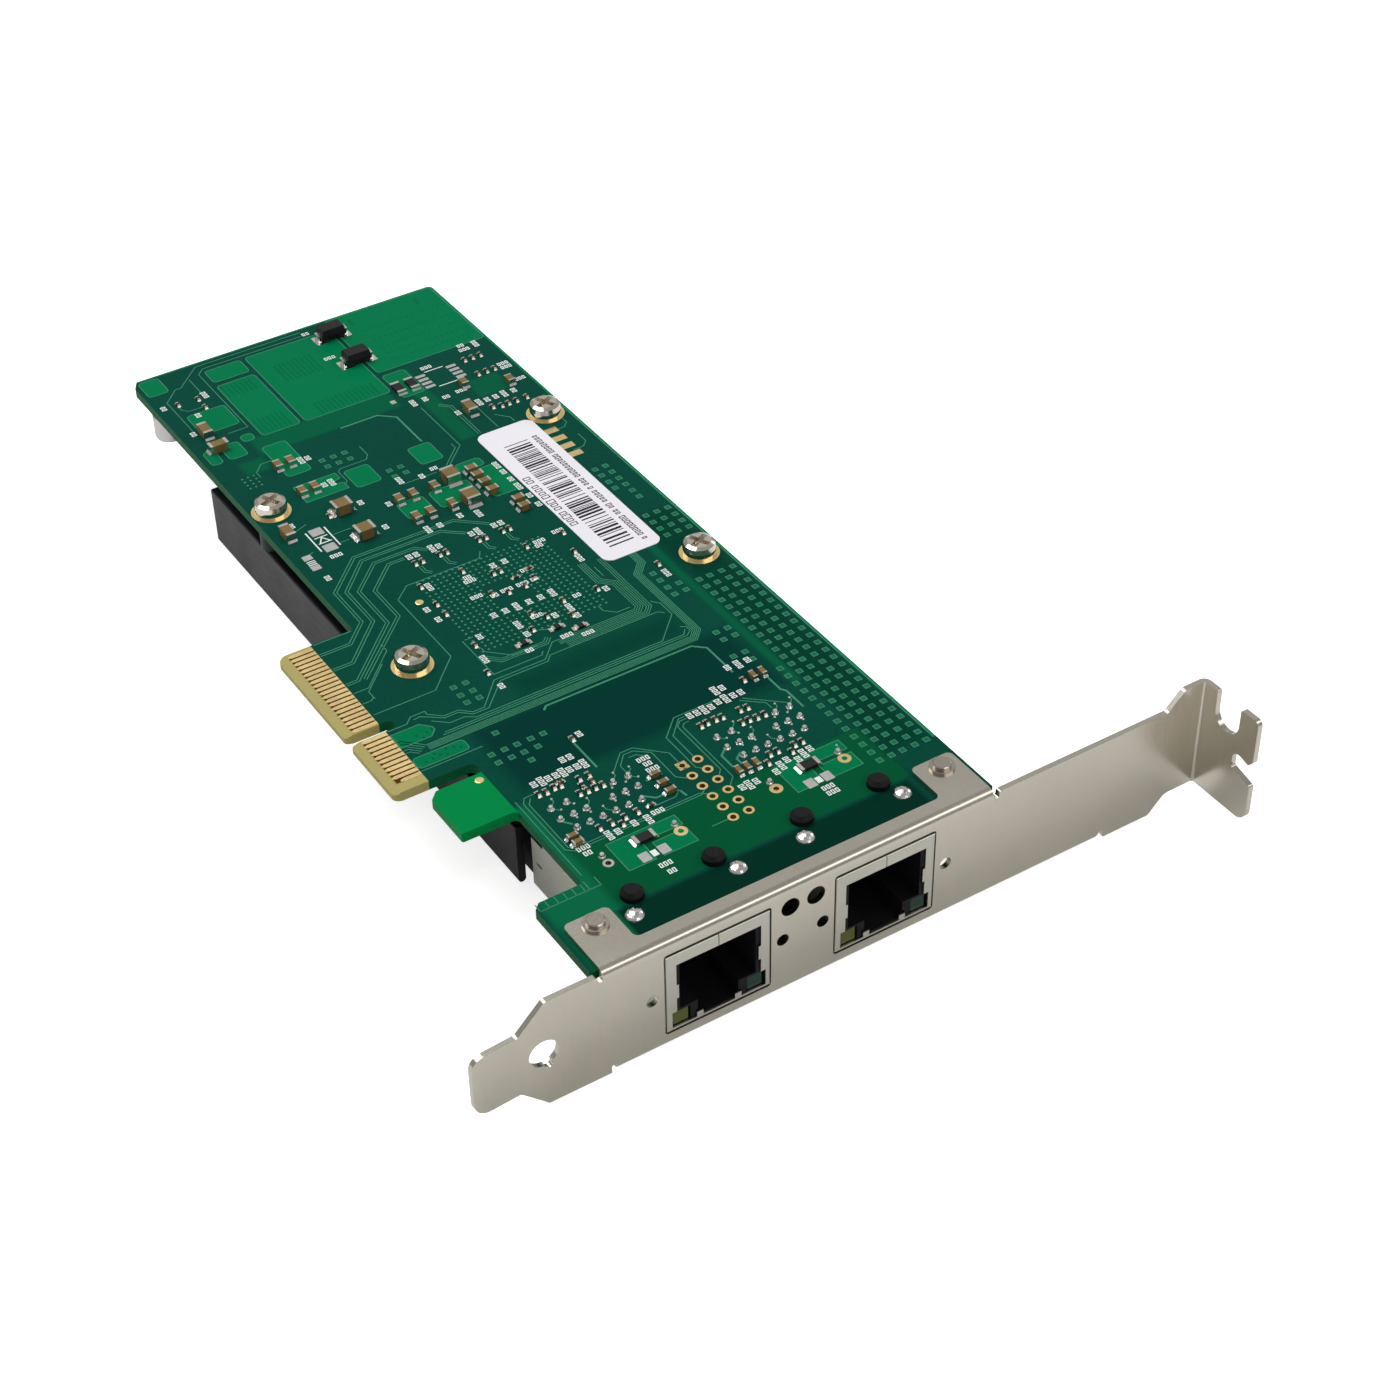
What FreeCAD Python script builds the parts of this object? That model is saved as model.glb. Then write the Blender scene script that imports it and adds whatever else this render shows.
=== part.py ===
import FreeCAD, Part
import math
import os

# A network interface card: a low-profile board with a finger connector, a full-height bracket,
# two shielded network jacks and a long heat sink. Millimetres.
# x runs from the connector's tip up the board, y from the bracket along the board, z from the
# board's component side to its solder side. The origin is where the key notch meets the tip,
# halfway through the board.

# Board
board_thickness = 1.57
board_height = 68.9
board_near_y = -57.6
board_far_y = 102.2
board_corner = 1.0
main_edge_x = 12.4
ear_edge_x = 4.7
ear_far_y = -42.8
guide_tab_x = 3.9
guide_tab_near_y = -25.65
guide_tab_far_y = -16.0
connector_near_y = -13.6
connector_far_y = 22.4
notch_width = 1.9
notch_depth = 7.3
tip_bevel_length = 1.25
tip_bevel_height = 0.35

# Fingers of the connector
finger_pitch = 1.0
finger_width = 0.7
finger_thickness = 0.04
finger_inner_x = 5.4
finger_outer_x = 1.35
short_finger_outer_x = 2.2
finger_point = 0.55
fingers_before_notch = 11
fingers_after_notch = 21
notch_to_finger = 1.5

# Bracket
bracket_sheet = 0.86
bracket_face_y = -59.1
bracket_length = 120.02
bracket_width = 18.42
bracket_top_z = 1.15
screw_tab_top_z = 4.03
tongue_end_x = -14.16
screw_tab_reach = 11.1
screw_slot_width = 4.85
screw_slot_centre_d = 5.1
screw_slot_centre_z = 0.85
bend_inner_radius = 0.4
tongue_width = 10.19
tongue_length = 7.0
tongue_corner = 2.4
tongue_bend = 3.8
shoulder_corner = 0.8
fold_near_margin = 0.9
fold_far_margin = 1.1
lip_reach = 3.1
ear_reach = 10.1
ear_width = 6.8
ear_corner = 0.9
relief_width = 0.9
relief_depth = 1.0
flange_near_from_end = 21.36
flange_far_from_tab = 17.3
flange_reach = 4.4
ear_gap = 0.03
tongue_hole_diameter = 4.4
tongue_hole_offset = 10.65
tongue_key_radius = 0.6

# Rivets
rivet_body_diameter = 2.4
rivet_flange_diameter = 3.7
rivet_flange_height = 0.35
rivet_boss_diameter = 2.6
rivet_boss_height = 0.85
rivet_boss_bevel = 0.12
rivet_rim_diameter = 3.1
rivet_rim_height = 0.5
rivet_from_edge = 3.8
far_rivet_shift = 0.9
rivet_from_face = 8.0
rivet_fit = 0.05

# Jacks
jacks_beyond_middle = 1.925
jack_spacing = 26.85
jack_width = 16.3
jack_height = 13.6
jack_depth = 34.7
jack_proud = 0.2
jack_standoff = 0.2
shield_sheet = 0.25
shield_gap = 0.05
shield_seam = 0.12
window_gap_side = 0.2
window_gap_end = 0.4
socket_width = 11.9
socket_height = 8.3
socket_depth = 14.0
socket_roof = 2.0
latch_width = 6.4
latch_height = 2.6
mouth_width = 13.2
mouth_lower_width = 14.7
mouth_height = 11.2
mouth_top = 1.85
lamp_width = 2.8
lamp_height = 2.2
lamp_length = 9.0
lamp_offset = 5.85
lamp_clearance = 0.08
peg_diameter = 3.2
peg_spacing = 12.7
peg_from_face = 10.7
peg_above_board = 1.3
peg_crown = 0.55
peg_fit = 0.05
shield_leg_from_face = 7.4
shield_leg_width = 1.0
shield_leg_above_board = 0.9
spring_thickness = 0.3
spring_width = 0.45
spring_pitch = 1.02
springs = 8
pin_side = 0.5
pin_pitch = 2.05
pin_row_pitch = 2.6
pin_first_row_from_face = 26.0
pin_shift = -0.4
pin_above_board = 0.5
pin_hole_gap = 0.2
lamp_pin_offset = 5.7
lamp_pin_from_face = 19.3
spare_hole_offset = 5.7
spare_hole_from_face = 17.7
spare_hole_diameter = 0.95
magnetics_margin = 0.6
magnetics_length = 18.0
magnetics_height = 10.2

# Lamp windows and small round holes of the bracket
lamp_window_diameter = 2.9
lamp_window_spacing = 4.1
lamp_window_z = -2.2
side_hole_diameter = 1.9
side_hole_offset = 10.2
side_hole_z = -7.6

# Empty pin header
header_columns = 2
header_rows = 6
header_pitch = 2.54
header_hole = 1.0
header_from_jacks_middle = -0.345
header_y = -42.95

# Heat sink
sink_near_y = -22.4
sink_length = 98.0
sink_edge_margin = 1.7
sink_fin_pitch = 2.495
sink_fin_thickness = 1.2
sink_fins = 22
sink_height = 10.3
sink_base = 3.0
sink_gap = 4.7
sink_screw_near_y = 10.15
sink_screw_pitch_y = 46.05
sink_screw_edge = 2.1
sink_tapped_diameter = 3.0

# Heat sink screws and bushes
screw_diameter = 3.0
screw_clearance = 0.4
screw_head_diameter = 5.2
screw_head_height = 2.2
screw_crown_start = 0.5
screw_shoulder_rise = 0.86
screw_shoulder_share = 0.93
screw_crown_share = 0.72
screw_length = 8.0
screw_recess_width = 3.6
screw_recess_depth = 1.3
screw_recess_blade = 0.45
screw_turn = 25
screw_thread_gap = 0.05
bush_diameter = 4.6
bush_bore = 3.3

# Chips and pads between board and heat sink
controller_side = 25.0
controller_height = 2.4
controller_from_sink_side = 23.395
controller_from_sink_end = 38.9
controller_cap_inset = 0.75
controller_substrate = 1.2
pad_side = 24.0

# Label
label_length = 40.8
label_width = 10.2
label_thickness = 0.12
label_corner = 1.6
label_from_edge = 11.9
label_y = 35.9

# Chips, coils and transistors of the component side, hidden under the heat sink or beyond it
memory_size = (3.9, 4.9, 1.6)
memory_place = (20.0, 0.5)
crystal_size = (3.2, 5.0, 1.1)
crystal_place = (20.5, -8.0)
regulator_xs = [28.0, 50.0]
regulator_size = (5.0, 5.0, 0.9)
regulator_y = 39.0
regulator_coil_size = (7.0, 7.0, 3.0)
regulator_coil_y = 50.0
power_coil_share = 0.47
power_coil_height = 8.0
power_coil_x = 42.0
transistor_size = (6.0, 5.0, 1.0)
transistor_xs = [24.0, 60.0]
transistor_y = 66.0
moulding_bevel = 0.15
coil_bevel = 0.5

board_top_z = board_thickness / 2
board_bottom_z = -board_thickness / 2
sheet_inner_y = bracket_face_y + bracket_sheet
bend_outer_radius = bend_inner_radius + bracket_sheet
screw_tab_inner_x = tongue_end_x + bracket_length - bracket_sheet
bracket_bottom_z = bracket_top_z - bracket_width
bracket_middle_z = (bracket_top_z + bracket_bottom_z) / 2
fold_top_z = board_top_z + ear_gap + bracket_sheet
fold_near_x = ear_edge_x + fold_near_margin
fold_far_x = board_height - fold_far_margin
flange_near_x = tongue_end_x + flange_near_from_end
flange_far_x = screw_tab_inner_x - flange_far_from_tab
jacks_middle_x = board_height / 2 + jacks_beyond_middle
jack_left_x = jacks_middle_x - jack_spacing / 2
jack_right_x = jack_left_x + jack_spacing
jack_centres = [jack_left_x, jack_right_x]
header_x = jacks_middle_x + header_from_jacks_middle
jack_front_y = bracket_face_y - jack_proud
jack_top_z = board_bottom_z - jack_standoff
jack_bottom_z = jack_top_z - jack_height
sink_width = (sink_fins - 1) * sink_fin_pitch + sink_fin_thickness
sink_low_x = board_height - sink_edge_margin - sink_width
sink_far_y = sink_near_y + sink_length
controller_x = sink_low_x + controller_from_sink_side
controller_y = sink_near_y + controller_from_sink_end
power_coil_y = (sink_far_y + board_far_y) / 2
power_coil_side = (board_far_y - sink_far_y) * power_coil_share
label_x = board_height - label_from_edge
sink_top_z = board_bottom_z - sink_gap
sink_bottom_z = sink_top_z - sink_height
sink_screw_xs = [sink_low_x + sink_screw_edge, sink_low_x + sink_width - sink_screw_edge]
sink_screw_ys = [sink_screw_near_y, sink_screw_near_y + sink_screw_pitch_y]
rivet_xs = [fold_near_x + rivet_from_edge, fold_far_x - rivet_from_edge + far_rivet_shift]
rivet_y = bracket_face_y + rivet_from_face


def point(x, y, z):
    return FreeCAD.Vector(x, y, z)


def in_plan(z):
    return lambda u, v: point(u, v, z)


def in_front(y):
    return lambda u, v: point(u, y, v)


def in_side(x):
    return lambda u, v: point(x, u, v)


def box(x0, x1, y0, y1, z0, z1):
    return Part.makeBox(x1 - x0, y1 - y0, z1 - z0, point(x0, y0, z0))


def upright(radius, x, y, z0, z1):
    return Part.makeCylinder(radius, z1 - z0, point(x, y, z0), point(0, 0, 1))


def crosswise(radius, x, y0, y1, z):
    return Part.makeCylinder(radius, y1 - y0, point(x, y0, z), point(0, 1, 0))


# A flat face from corners (u, v, radius); a radius rounds its corner with a tangent arc.
def rounded_face(corners, place):
    count = len(corners)
    stops = []
    for i in range(count):
        u, v, radius = corners[i]
        before = corners[i - 1]
        after = corners[(i + 1) % count]
        if radius <= 0:
            stops.append(((u, v), None, (u, v)))
            continue
        back = (before[0] - u, before[1] - v)
        ahead = (after[0] - u, after[1] - v)
        back_length = math.hypot(*back)
        ahead_length = math.hypot(*ahead)
        back = (back[0] / back_length, back[1] / back_length)
        ahead = (ahead[0] / ahead_length, ahead[1] / ahead_length)
        half = math.acos(max(-1.0, min(1.0, back[0] * ahead[0] + back[1] * ahead[1]))) / 2
        reach = radius / math.tan(half)
        middle = (back[0] + ahead[0], back[1] + ahead[1])
        middle_length = math.hypot(*middle)
        inset = radius / math.sin(half) - radius
        crown = (u + middle[0] / middle_length * inset, v + middle[1] / middle_length * inset)
        start = (u + back[0] * reach, v + back[1] * reach)
        end = (u + ahead[0] * reach, v + ahead[1] * reach)
        stops.append((start, crown, end))
    edges = []
    for i in range(count):
        start, crown, end = stops[i]
        following = stops[(i + 1) % count][0]
        if crown is not None:
            edges.append(Part.Arc(place(*start), place(*crown), place(*end)).toShape())
        if math.hypot(following[0] - end[0], following[1] - end[1]) > 1e-6:
            edges.append(Part.LineSegment(place(*end), place(*following)).toShape())
    return Part.Face(Part.Wire(edges))


def plate(corners, place, direction):
    return rounded_face(corners, place).extrude(direction)


# A strip of even thickness that follows a line of (u, v) points, as a closed outline.
def ribbon_corners(path, thickness):
    left = []
    right = []
    for i in range(len(path)):
        before = path[max(i - 1, 0)]
        after = path[min(i + 1, len(path) - 1)]
        here = path[i]
        normals = []
        for start, end in ((before, here), (here, after)):
            run = (end[0] - start[0], end[1] - start[1])
            length = math.hypot(*run)
            if length > 0:
                normals.append((-run[1] / length, run[0] / length))
        sum_u = sum(n[0] for n in normals) / len(normals)
        sum_v = sum(n[1] for n in normals) / len(normals)
        scale = thickness / 2 / (sum_u * sum_u + sum_v * sum_v)
        left.append((here[0] + sum_u * scale, here[1] + sum_v * scale, 0))
        right.append((here[0] - sum_u * scale, here[1] - sum_v * scale, 0))
    return left + right[::-1]


def cut_all(shape, tools):
    return shape.cut(Part.makeCompound(tools)) if tools else shape


def only_solid(shape):
    solids = shape.removeSplitter().Solids
    return max(solids, key=lambda solid: solid.Volume)


def header_spots():
    spots = []
    for column in range(header_columns):
        for row in range(header_rows):
            spots.append((header_x + column * header_pitch, header_y + row * header_pitch))
    return spots


# Three rows of pins across the jack: six, then seven places without the middle one, then two
# pairs at the ends; the lamps' two pins stand by themselves nearer to the bracket.
def jack_pin_spots(centre_x):
    rows = [
        (-2.5, -1.5, -0.5, 0.5, 1.5, 2.5),
        (-3, -2, -1, 1, 2, 3),
        (-3, -1.8, 1.8, 3),
    ]
    spots = []
    for row, places in enumerate(rows):
        y = bracket_face_y + pin_first_row_from_face + row * pin_row_pitch
        for place in places:
            spots.append((centre_x + pin_shift + place * pin_pitch, y))
    for side in (-1, 1):
        spots.append((centre_x + side * lamp_pin_offset, bracket_face_y + lamp_pin_from_face))
    return spots


# Two plated holes beside the lamps' pins stay empty.
def spare_hole_spots(centre_x):
    y = bracket_face_y + spare_hole_from_face
    return [(centre_x - spare_hole_offset, y), (centre_x + spare_hole_offset, y)]


def shield_leg_spots(centre_x):
    y = bracket_face_y + shield_leg_from_face
    offset = jack_width / 2 - shield_sheet / 2
    return [(centre_x - offset, y), (centre_x + offset, y)]


def peg_spots(centre_x):
    y = bracket_face_y + peg_from_face
    return [(centre_x - peg_spacing / 2, y), (centre_x + peg_spacing / 2, y)]


def make_board():
    half_notch = notch_width / 2
    corners = [
        (board_height, board_near_y, 0.4),
        (board_height, board_far_y, board_corner),
        (main_edge_x + 1.0, board_far_y, 0),
        (main_edge_x, board_far_y - 1.8, 0),
        (main_edge_x, connector_far_y, 0.5),
        (0, connector_far_y, 1.3),
        (0, half_notch, 0.5),
        (notch_depth, half_notch, half_notch * 0.999),
        (notch_depth, -half_notch, half_notch * 0.999),
        (0, -half_notch, 0.5),
        (0, connector_near_y, 0.8),
        (main_edge_x + 0.1, connector_near_y, 1.19),
        (main_edge_x + 0.1, guide_tab_far_y, 1.19),
        (guide_tab_x + 1.3, guide_tab_far_y, 0),
        (guide_tab_x, guide_tab_far_y - 1.3, 0),
        (guide_tab_x, guide_tab_near_y, 0.3),
        (main_edge_x, guide_tab_near_y, 0.8),
        (main_edge_x, ear_far_y, 0.8),
        (ear_edge_x + 1.0, ear_far_y, 0),
        (ear_edge_x, ear_far_y - 1.0, 0),
        (ear_edge_x, board_near_y, 0.5),
    ]
    board = plate(corners, in_plan(board_bottom_z), point(0, 0, board_thickness))
    cuts = []
    for side in (1, -1):
        face = side * board_top_z
        bevel = Part.makePolygon([
            point(-0.1, connector_near_y - 0.1, face - side * tip_bevel_height * 1.08),
            point(tip_bevel_length, connector_near_y - 0.1, face),
            point(tip_bevel_length, connector_near_y - 0.1, face + side * 0.1),
            point(-0.1, connector_near_y - 0.1, face + side * 0.1),
            point(-0.1, connector_near_y - 0.1, face - side * tip_bevel_height * 1.08),
        ])
        length = connector_far_y - connector_near_y + 0.2
        cuts.append(Part.Face(bevel).extrude(point(0, length, 0)))
    low = board_bottom_z - 0.1
    high = board_top_z + 0.1
    for centre_x in jack_centres:
        for x, y in peg_spots(centre_x):
            cuts.append(upright(peg_diameter / 2 + peg_fit, x, y, low, high))
        for x, y in shield_leg_spots(centre_x):
            half = shield_leg_width / 2 + pin_hole_gap
            slot = shield_sheet / 2 + pin_hole_gap
            cuts.append(box(x - slot, x + slot, y - half, y + half, low, high))
        for x, y in spare_hole_spots(centre_x):
            cuts.append(upright(spare_hole_diameter / 2, x, y, low, high))
        for x, y in jack_pin_spots(centre_x):
            half = pin_side / 2 + pin_hole_gap
            cuts.append(box(x - half, x + half, y - half, y + half, low, high))
    for x, y in header_spots():
        cuts.append(upright(header_hole / 2, x, y, low, high))
    for x in sink_screw_xs:
        for y in sink_screw_ys:
            cuts.append(upright((screw_diameter + screw_clearance) / 2, x, y, low, high))
    for x in rivet_xs:
        cuts.append(upright(rivet_body_diameter / 2 + rivet_fit, x, rivet_y, low, high))
    return cut_all(board, cuts)


# One finger lies flat on the board and ends in a blunt point towards the tip.
def make_finger(y, outer_x, side):
    half = finger_width / 2
    corners = [
        (finger_inner_x, y - half, 0),
        (finger_inner_x, y + half, 0),
        (outer_x + finger_point, y + half, 0),
        (outer_x, y + half * 0.35, 0),
        (outer_x, y - half * 0.35, 0),
        (outer_x + finger_point, y - half, 0),
    ]
    start = board_top_z if side > 0 else board_bottom_z - finger_thickness
    return plate(corners, in_plan(start), point(0, 0, finger_thickness))


def make_fingers(side):
    fingers = []
    for i in range(fingers_before_notch):
        y = -notch_to_finger - i * finger_pitch
        last = i == fingers_before_notch - 1
        outer = short_finger_outer_x if last and side > 0 else finger_outer_x
        fingers.append(make_finger(y, outer, side))
    for i in range(fingers_after_notch):
        y = notch_to_finger + i * finger_pitch
        almost_last = i == fingers_after_notch - 2
        outer = short_finger_outer_x if almost_last and side < 0 else finger_outer_x
        fingers.append(make_finger(y, outer, side))
    return fingers


# The bend's section across the fold: up the strip, round the bend and out over the board.
def bend_section(reach, top_z, downward):
    sign = -1 if downward else 1
    face = bracket_face_y
    outer = bend_outer_radius
    inner = bend_inner_radius
    turn = math.sin(math.pi / 4)
    end = face + reach
    root = top_z - sign * (outer + 0.6)
    inner_centre = (face + outer, top_z - sign * outer)
    place = in_side(0)
    edges = [
        Part.LineSegment(place(face, root), place(face, top_z - sign * outer)),
        Part.Arc(
            place(face, top_z - sign * outer),
            place(inner_centre[0] - outer * turn, inner_centre[1] + sign * outer * turn),
            place(face + outer, top_z)),
        Part.LineSegment(place(face + outer, top_z), place(end, top_z)),
        Part.LineSegment(place(end, top_z), place(end, top_z - sign * bracket_sheet)),
        Part.LineSegment(
            place(end, top_z - sign * bracket_sheet),
            place(face + outer, top_z - sign * bracket_sheet)),
        Part.Arc(
            place(face + outer, top_z - sign * bracket_sheet),
            place(inner_centre[0] - inner * turn, inner_centre[1] + sign * inner * turn),
            place(sheet_inner_y, top_z - sign * outer)),
        Part.LineSegment(place(sheet_inner_y, top_z - sign * outer), place(sheet_inner_y, root)),
        Part.LineSegment(place(sheet_inner_y, root), place(face, root)),
    ]
    return Part.Face(Part.Wire([edge.toShape() for edge in edges]))


def make_strip():
    slope = bracket_top_z - (bracket_middle_z + tongue_width / 2)
    tongue_root = tongue_end_x + tongue_length
    tongue_top = bracket_middle_z + tongue_width / 2
    tongue_bottom = bracket_middle_z - tongue_width / 2
    tab_bottom = screw_tab_top_z - bracket_width
    rise = screw_tab_top_z - bracket_top_z
    shoulder_x = screw_tab_inner_x - 3.6
    lower_shoulder_x = screw_tab_inner_x - 5.2
    end_x = screw_tab_inner_x - bend_inner_radius
    fold_root = fold_top_z - bend_outer_radius
    relief_z = bracket_top_z - relief_depth
    flange_root = bracket_bottom_z + bend_outer_radius
    flange_relief = bracket_bottom_z + relief_depth
    corners = [
        (tongue_end_x, tongue_bottom, tongue_corner),
        (tongue_root, tongue_bottom, shoulder_corner),
        (tongue_root + slope, bracket_bottom_z, shoulder_corner),
        (flange_near_x - relief_width, bracket_bottom_z, 0.3),
        (flange_near_x - relief_width, flange_relief + 0.4, 0.3),
        (flange_near_x, flange_relief + 0.4, 0.3),
        (flange_near_x, flange_root, 0),
        (flange_far_x, flange_root, 0),
        (flange_far_x, flange_relief + 0.4, 0.3),
        (flange_far_x + relief_width, flange_relief + 0.4, 0.3),
        (flange_far_x + relief_width, bracket_bottom_z, 0.3),
        (lower_shoulder_x - rise, bracket_bottom_z, 1.5),
        (lower_shoulder_x, tab_bottom, 1.5),
        (end_x, tab_bottom, 0),
        (end_x, screw_tab_top_z, 0),
        (shoulder_x, screw_tab_top_z, shoulder_corner),
        (shoulder_x - rise, bracket_top_z, shoulder_corner),
        (fold_far_x + relief_width, bracket_top_z, 0.3),
        (fold_far_x + relief_width, relief_z, 0.3),
        (fold_far_x, relief_z, 0.3),
        (fold_far_x, fold_root, 0),
        (fold_near_x, fold_root, 0),
        (fold_near_x, relief_z, 0.3),
        (fold_near_x - relief_width, relief_z, 0.3),
        (fold_near_x - relief_width, bracket_top_z, 0.3),
        (tongue_root + slope, bracket_top_z, shoulder_corner),
        (tongue_root, tongue_top, shoulder_corner),
        (tongue_end_x, tongue_top, tongue_corner * 0.8),
    ]
    flat = plate(corners, in_front(bracket_face_y), point(0, bracket_sheet, 0))
    near = bracket_face_y - 1
    tongue_side = box(tongue_end_x - 1, tongue_root, near, near + 3, bracket_bottom_z - 1, bracket_top_z + 1)
    tongue = flat.common(tongue_side)
    tongue.rotate(point(tongue_root, sheet_inner_y, 0), point(0, 0, 1), tongue_bend)
    return flat.cut(tongue_side).fuse(tongue)


# The lip and the two ears lie on the solder side; the fold's section is cut to their outline.
def make_top_fold():
    fold = bend_section(ear_reach, fold_top_z, False).extrude(point(fold_far_x - fold_near_x, 0, 0))
    fold.translate(point(fold_near_x, 0, 0))
    near = bracket_face_y - 1
    lip = bracket_face_y + lip_reach
    ear = bracket_face_y + ear_reach
    corners = [
        (fold_near_x, near, 0),
        (fold_far_x, near, 0),
        (fold_far_x, ear, ear_corner),
        (fold_far_x - ear_width, ear, ear_corner),
        (fold_far_x - ear_width, lip, ear_corner),
        (fold_near_x + ear_width, lip, ear_corner),
        (fold_near_x + ear_width, ear, ear_corner),
        (fold_near_x, ear, ear_corner),
    ]
    return fold.common(plate(corners, in_plan(-5), point(0, 0, 10)))


def make_flange():
    flange = bend_section(flange_reach, bracket_bottom_z, True)
    solid = flange.extrude(point(flange_far_x - flange_near_x, 0, 0))
    solid.translate(point(flange_near_x, 0, 0))
    return solid


# The screw tab stands out from the strip's outer face, round a bend, with its slot and side notch.
def make_screw_tab():
    face = bracket_face_y
    low = screw_tab_top_z - bracket_width
    inner = bend_inner_radius
    outer = bend_outer_radius
    turn = math.sin(math.pi / 4)
    centre_x = screw_tab_inner_x - inner
    centre_y = face - inner
    place = in_plan(low)
    bend = [
        Part.LineSegment(place(centre_x, face), place(centre_x, sheet_inner_y)),
        Part.Arc(
            place(centre_x, sheet_inner_y),
            place(centre_x + outer * turn, centre_y + outer * turn),
            place(centre_x + outer, centre_y)),
        Part.LineSegment(place(centre_x + outer, centre_y), place(centre_x + inner, centre_y)),
        Part.Arc(
            place(centre_x + inner, centre_y),
            place(centre_x + inner * turn, centre_y + inner * turn),
            place(centre_x, face)),
    ]
    bend_face = Part.Face(Part.Wire([edge.toShape() for edge in bend]))
    bend_solid = bend_face.extrude(point(0, 0, bracket_width))
    top = screw_tab_top_z
    end = face - screw_tab_reach
    slot_low = face - screw_slot_centre_d + screw_slot_width / 2
    slot_high = face - screw_slot_centre_d - screw_slot_width / 2
    slot_floor = screw_slot_centre_z - screw_slot_width / 2
    round_slot = screw_slot_width / 2 * 0.999
    corners = [
        (centre_y, low, 0),
        (centre_y, top, 0),
        (slot_low, top, 0.3),
        (slot_low, slot_floor, round_slot),
        (slot_high, slot_floor, round_slot),
        (slot_high, top, 0.5),
        (end, top, 1.0),
        (end, top - 7.3, 0.4),
        (end + 0.8, top - 8.3, 0.4),
        (face - 7.1, top - 7.4, 1.2),
        (face - 7.1, top - 10.6, 0.4),
        (end, top - 11.7, 0.5),
        (end, low, 2.0),
    ]
    tab = plate(corners, in_side(screw_tab_inner_x), point(bracket_sheet, 0, 0))
    return bend_solid.fuse(tab)


def make_bracket():
    body = make_strip().fuse([make_top_fold(), make_flange(), make_screw_tab()])
    near = bracket_face_y - 1
    far = sheet_inner_y + 0.3
    cuts = []
    for centre_x in jack_centres:
        half = jack_width / 2 + window_gap_side
        corners = [
            (centre_x - half, jack_bottom_z - window_gap_end, 0.5),
            (centre_x + half, jack_bottom_z - window_gap_end, 0.5),
            (centre_x + half, jack_top_z + window_gap_end, 0.5),
            (centre_x - half, jack_top_z + window_gap_end, 0.5),
        ]
        cuts.append(plate(corners, in_front(near), point(0, far - near, 0)))
        for side in (-1, 1):
            x = centre_x + side * side_hole_offset
            cuts.append(crosswise(side_hole_diameter / 2, x, near, far, side_hole_z))
    middle_x = sum(jack_centres) / 2
    for side in (-1, 1):
        x = middle_x + side * lamp_window_spacing / 2
        cuts.append(crosswise(lamp_window_diameter / 2, x, near, far, lamp_window_z))
    hole_x = tongue_end_x + tongue_hole_offset
    hole_z = bracket_middle_z + 0.3
    cuts.append(crosswise(tongue_hole_diameter / 2, hole_x, near, far, hole_z))
    cuts.append(crosswise(tongue_key_radius, hole_x + 0.6, near, far, hole_z - 2.3))
    for x in rivet_xs:
        cuts.append(upright(rivet_body_diameter / 2 + rivet_fit, x, rivet_y, 0, 3))
    return only_solid(cut_all(body, cuts))


# A rivet has a flat flange and a lower boss on the ear, a body through both and a turned rim below.
def make_rivet(x):
    seat = fold_top_z
    foot = board_bottom_z
    body = rivet_body_diameter / 2
    rim = rivet_rim_diameter / 2
    flange = rivet_flange_diameter / 2
    boss = rivet_boss_diameter / 2
    corners = [
        (0, foot - rivet_rim_height, 0),
        (rim, foot - rivet_rim_height, 0),
        (rim, foot, 0),
        (body, foot, 0),
        (body, seat, 0),
        (flange, seat, 0),
        (flange, seat + rivet_flange_height, 0),
        (boss, seat + rivet_flange_height, 0),
        (boss, seat + rivet_boss_height - rivet_boss_bevel, 0),
        (boss - rivet_boss_bevel, seat + rivet_boss_height, 0),
        (0, seat + rivet_boss_height, 0),
    ]
    section = rounded_face(corners, in_front(0))
    solid = section.revolve(point(0, 0, 0), point(0, 0, 1), 360)
    solid.translate(point(x, rivet_y, 0))
    return solid


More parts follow.
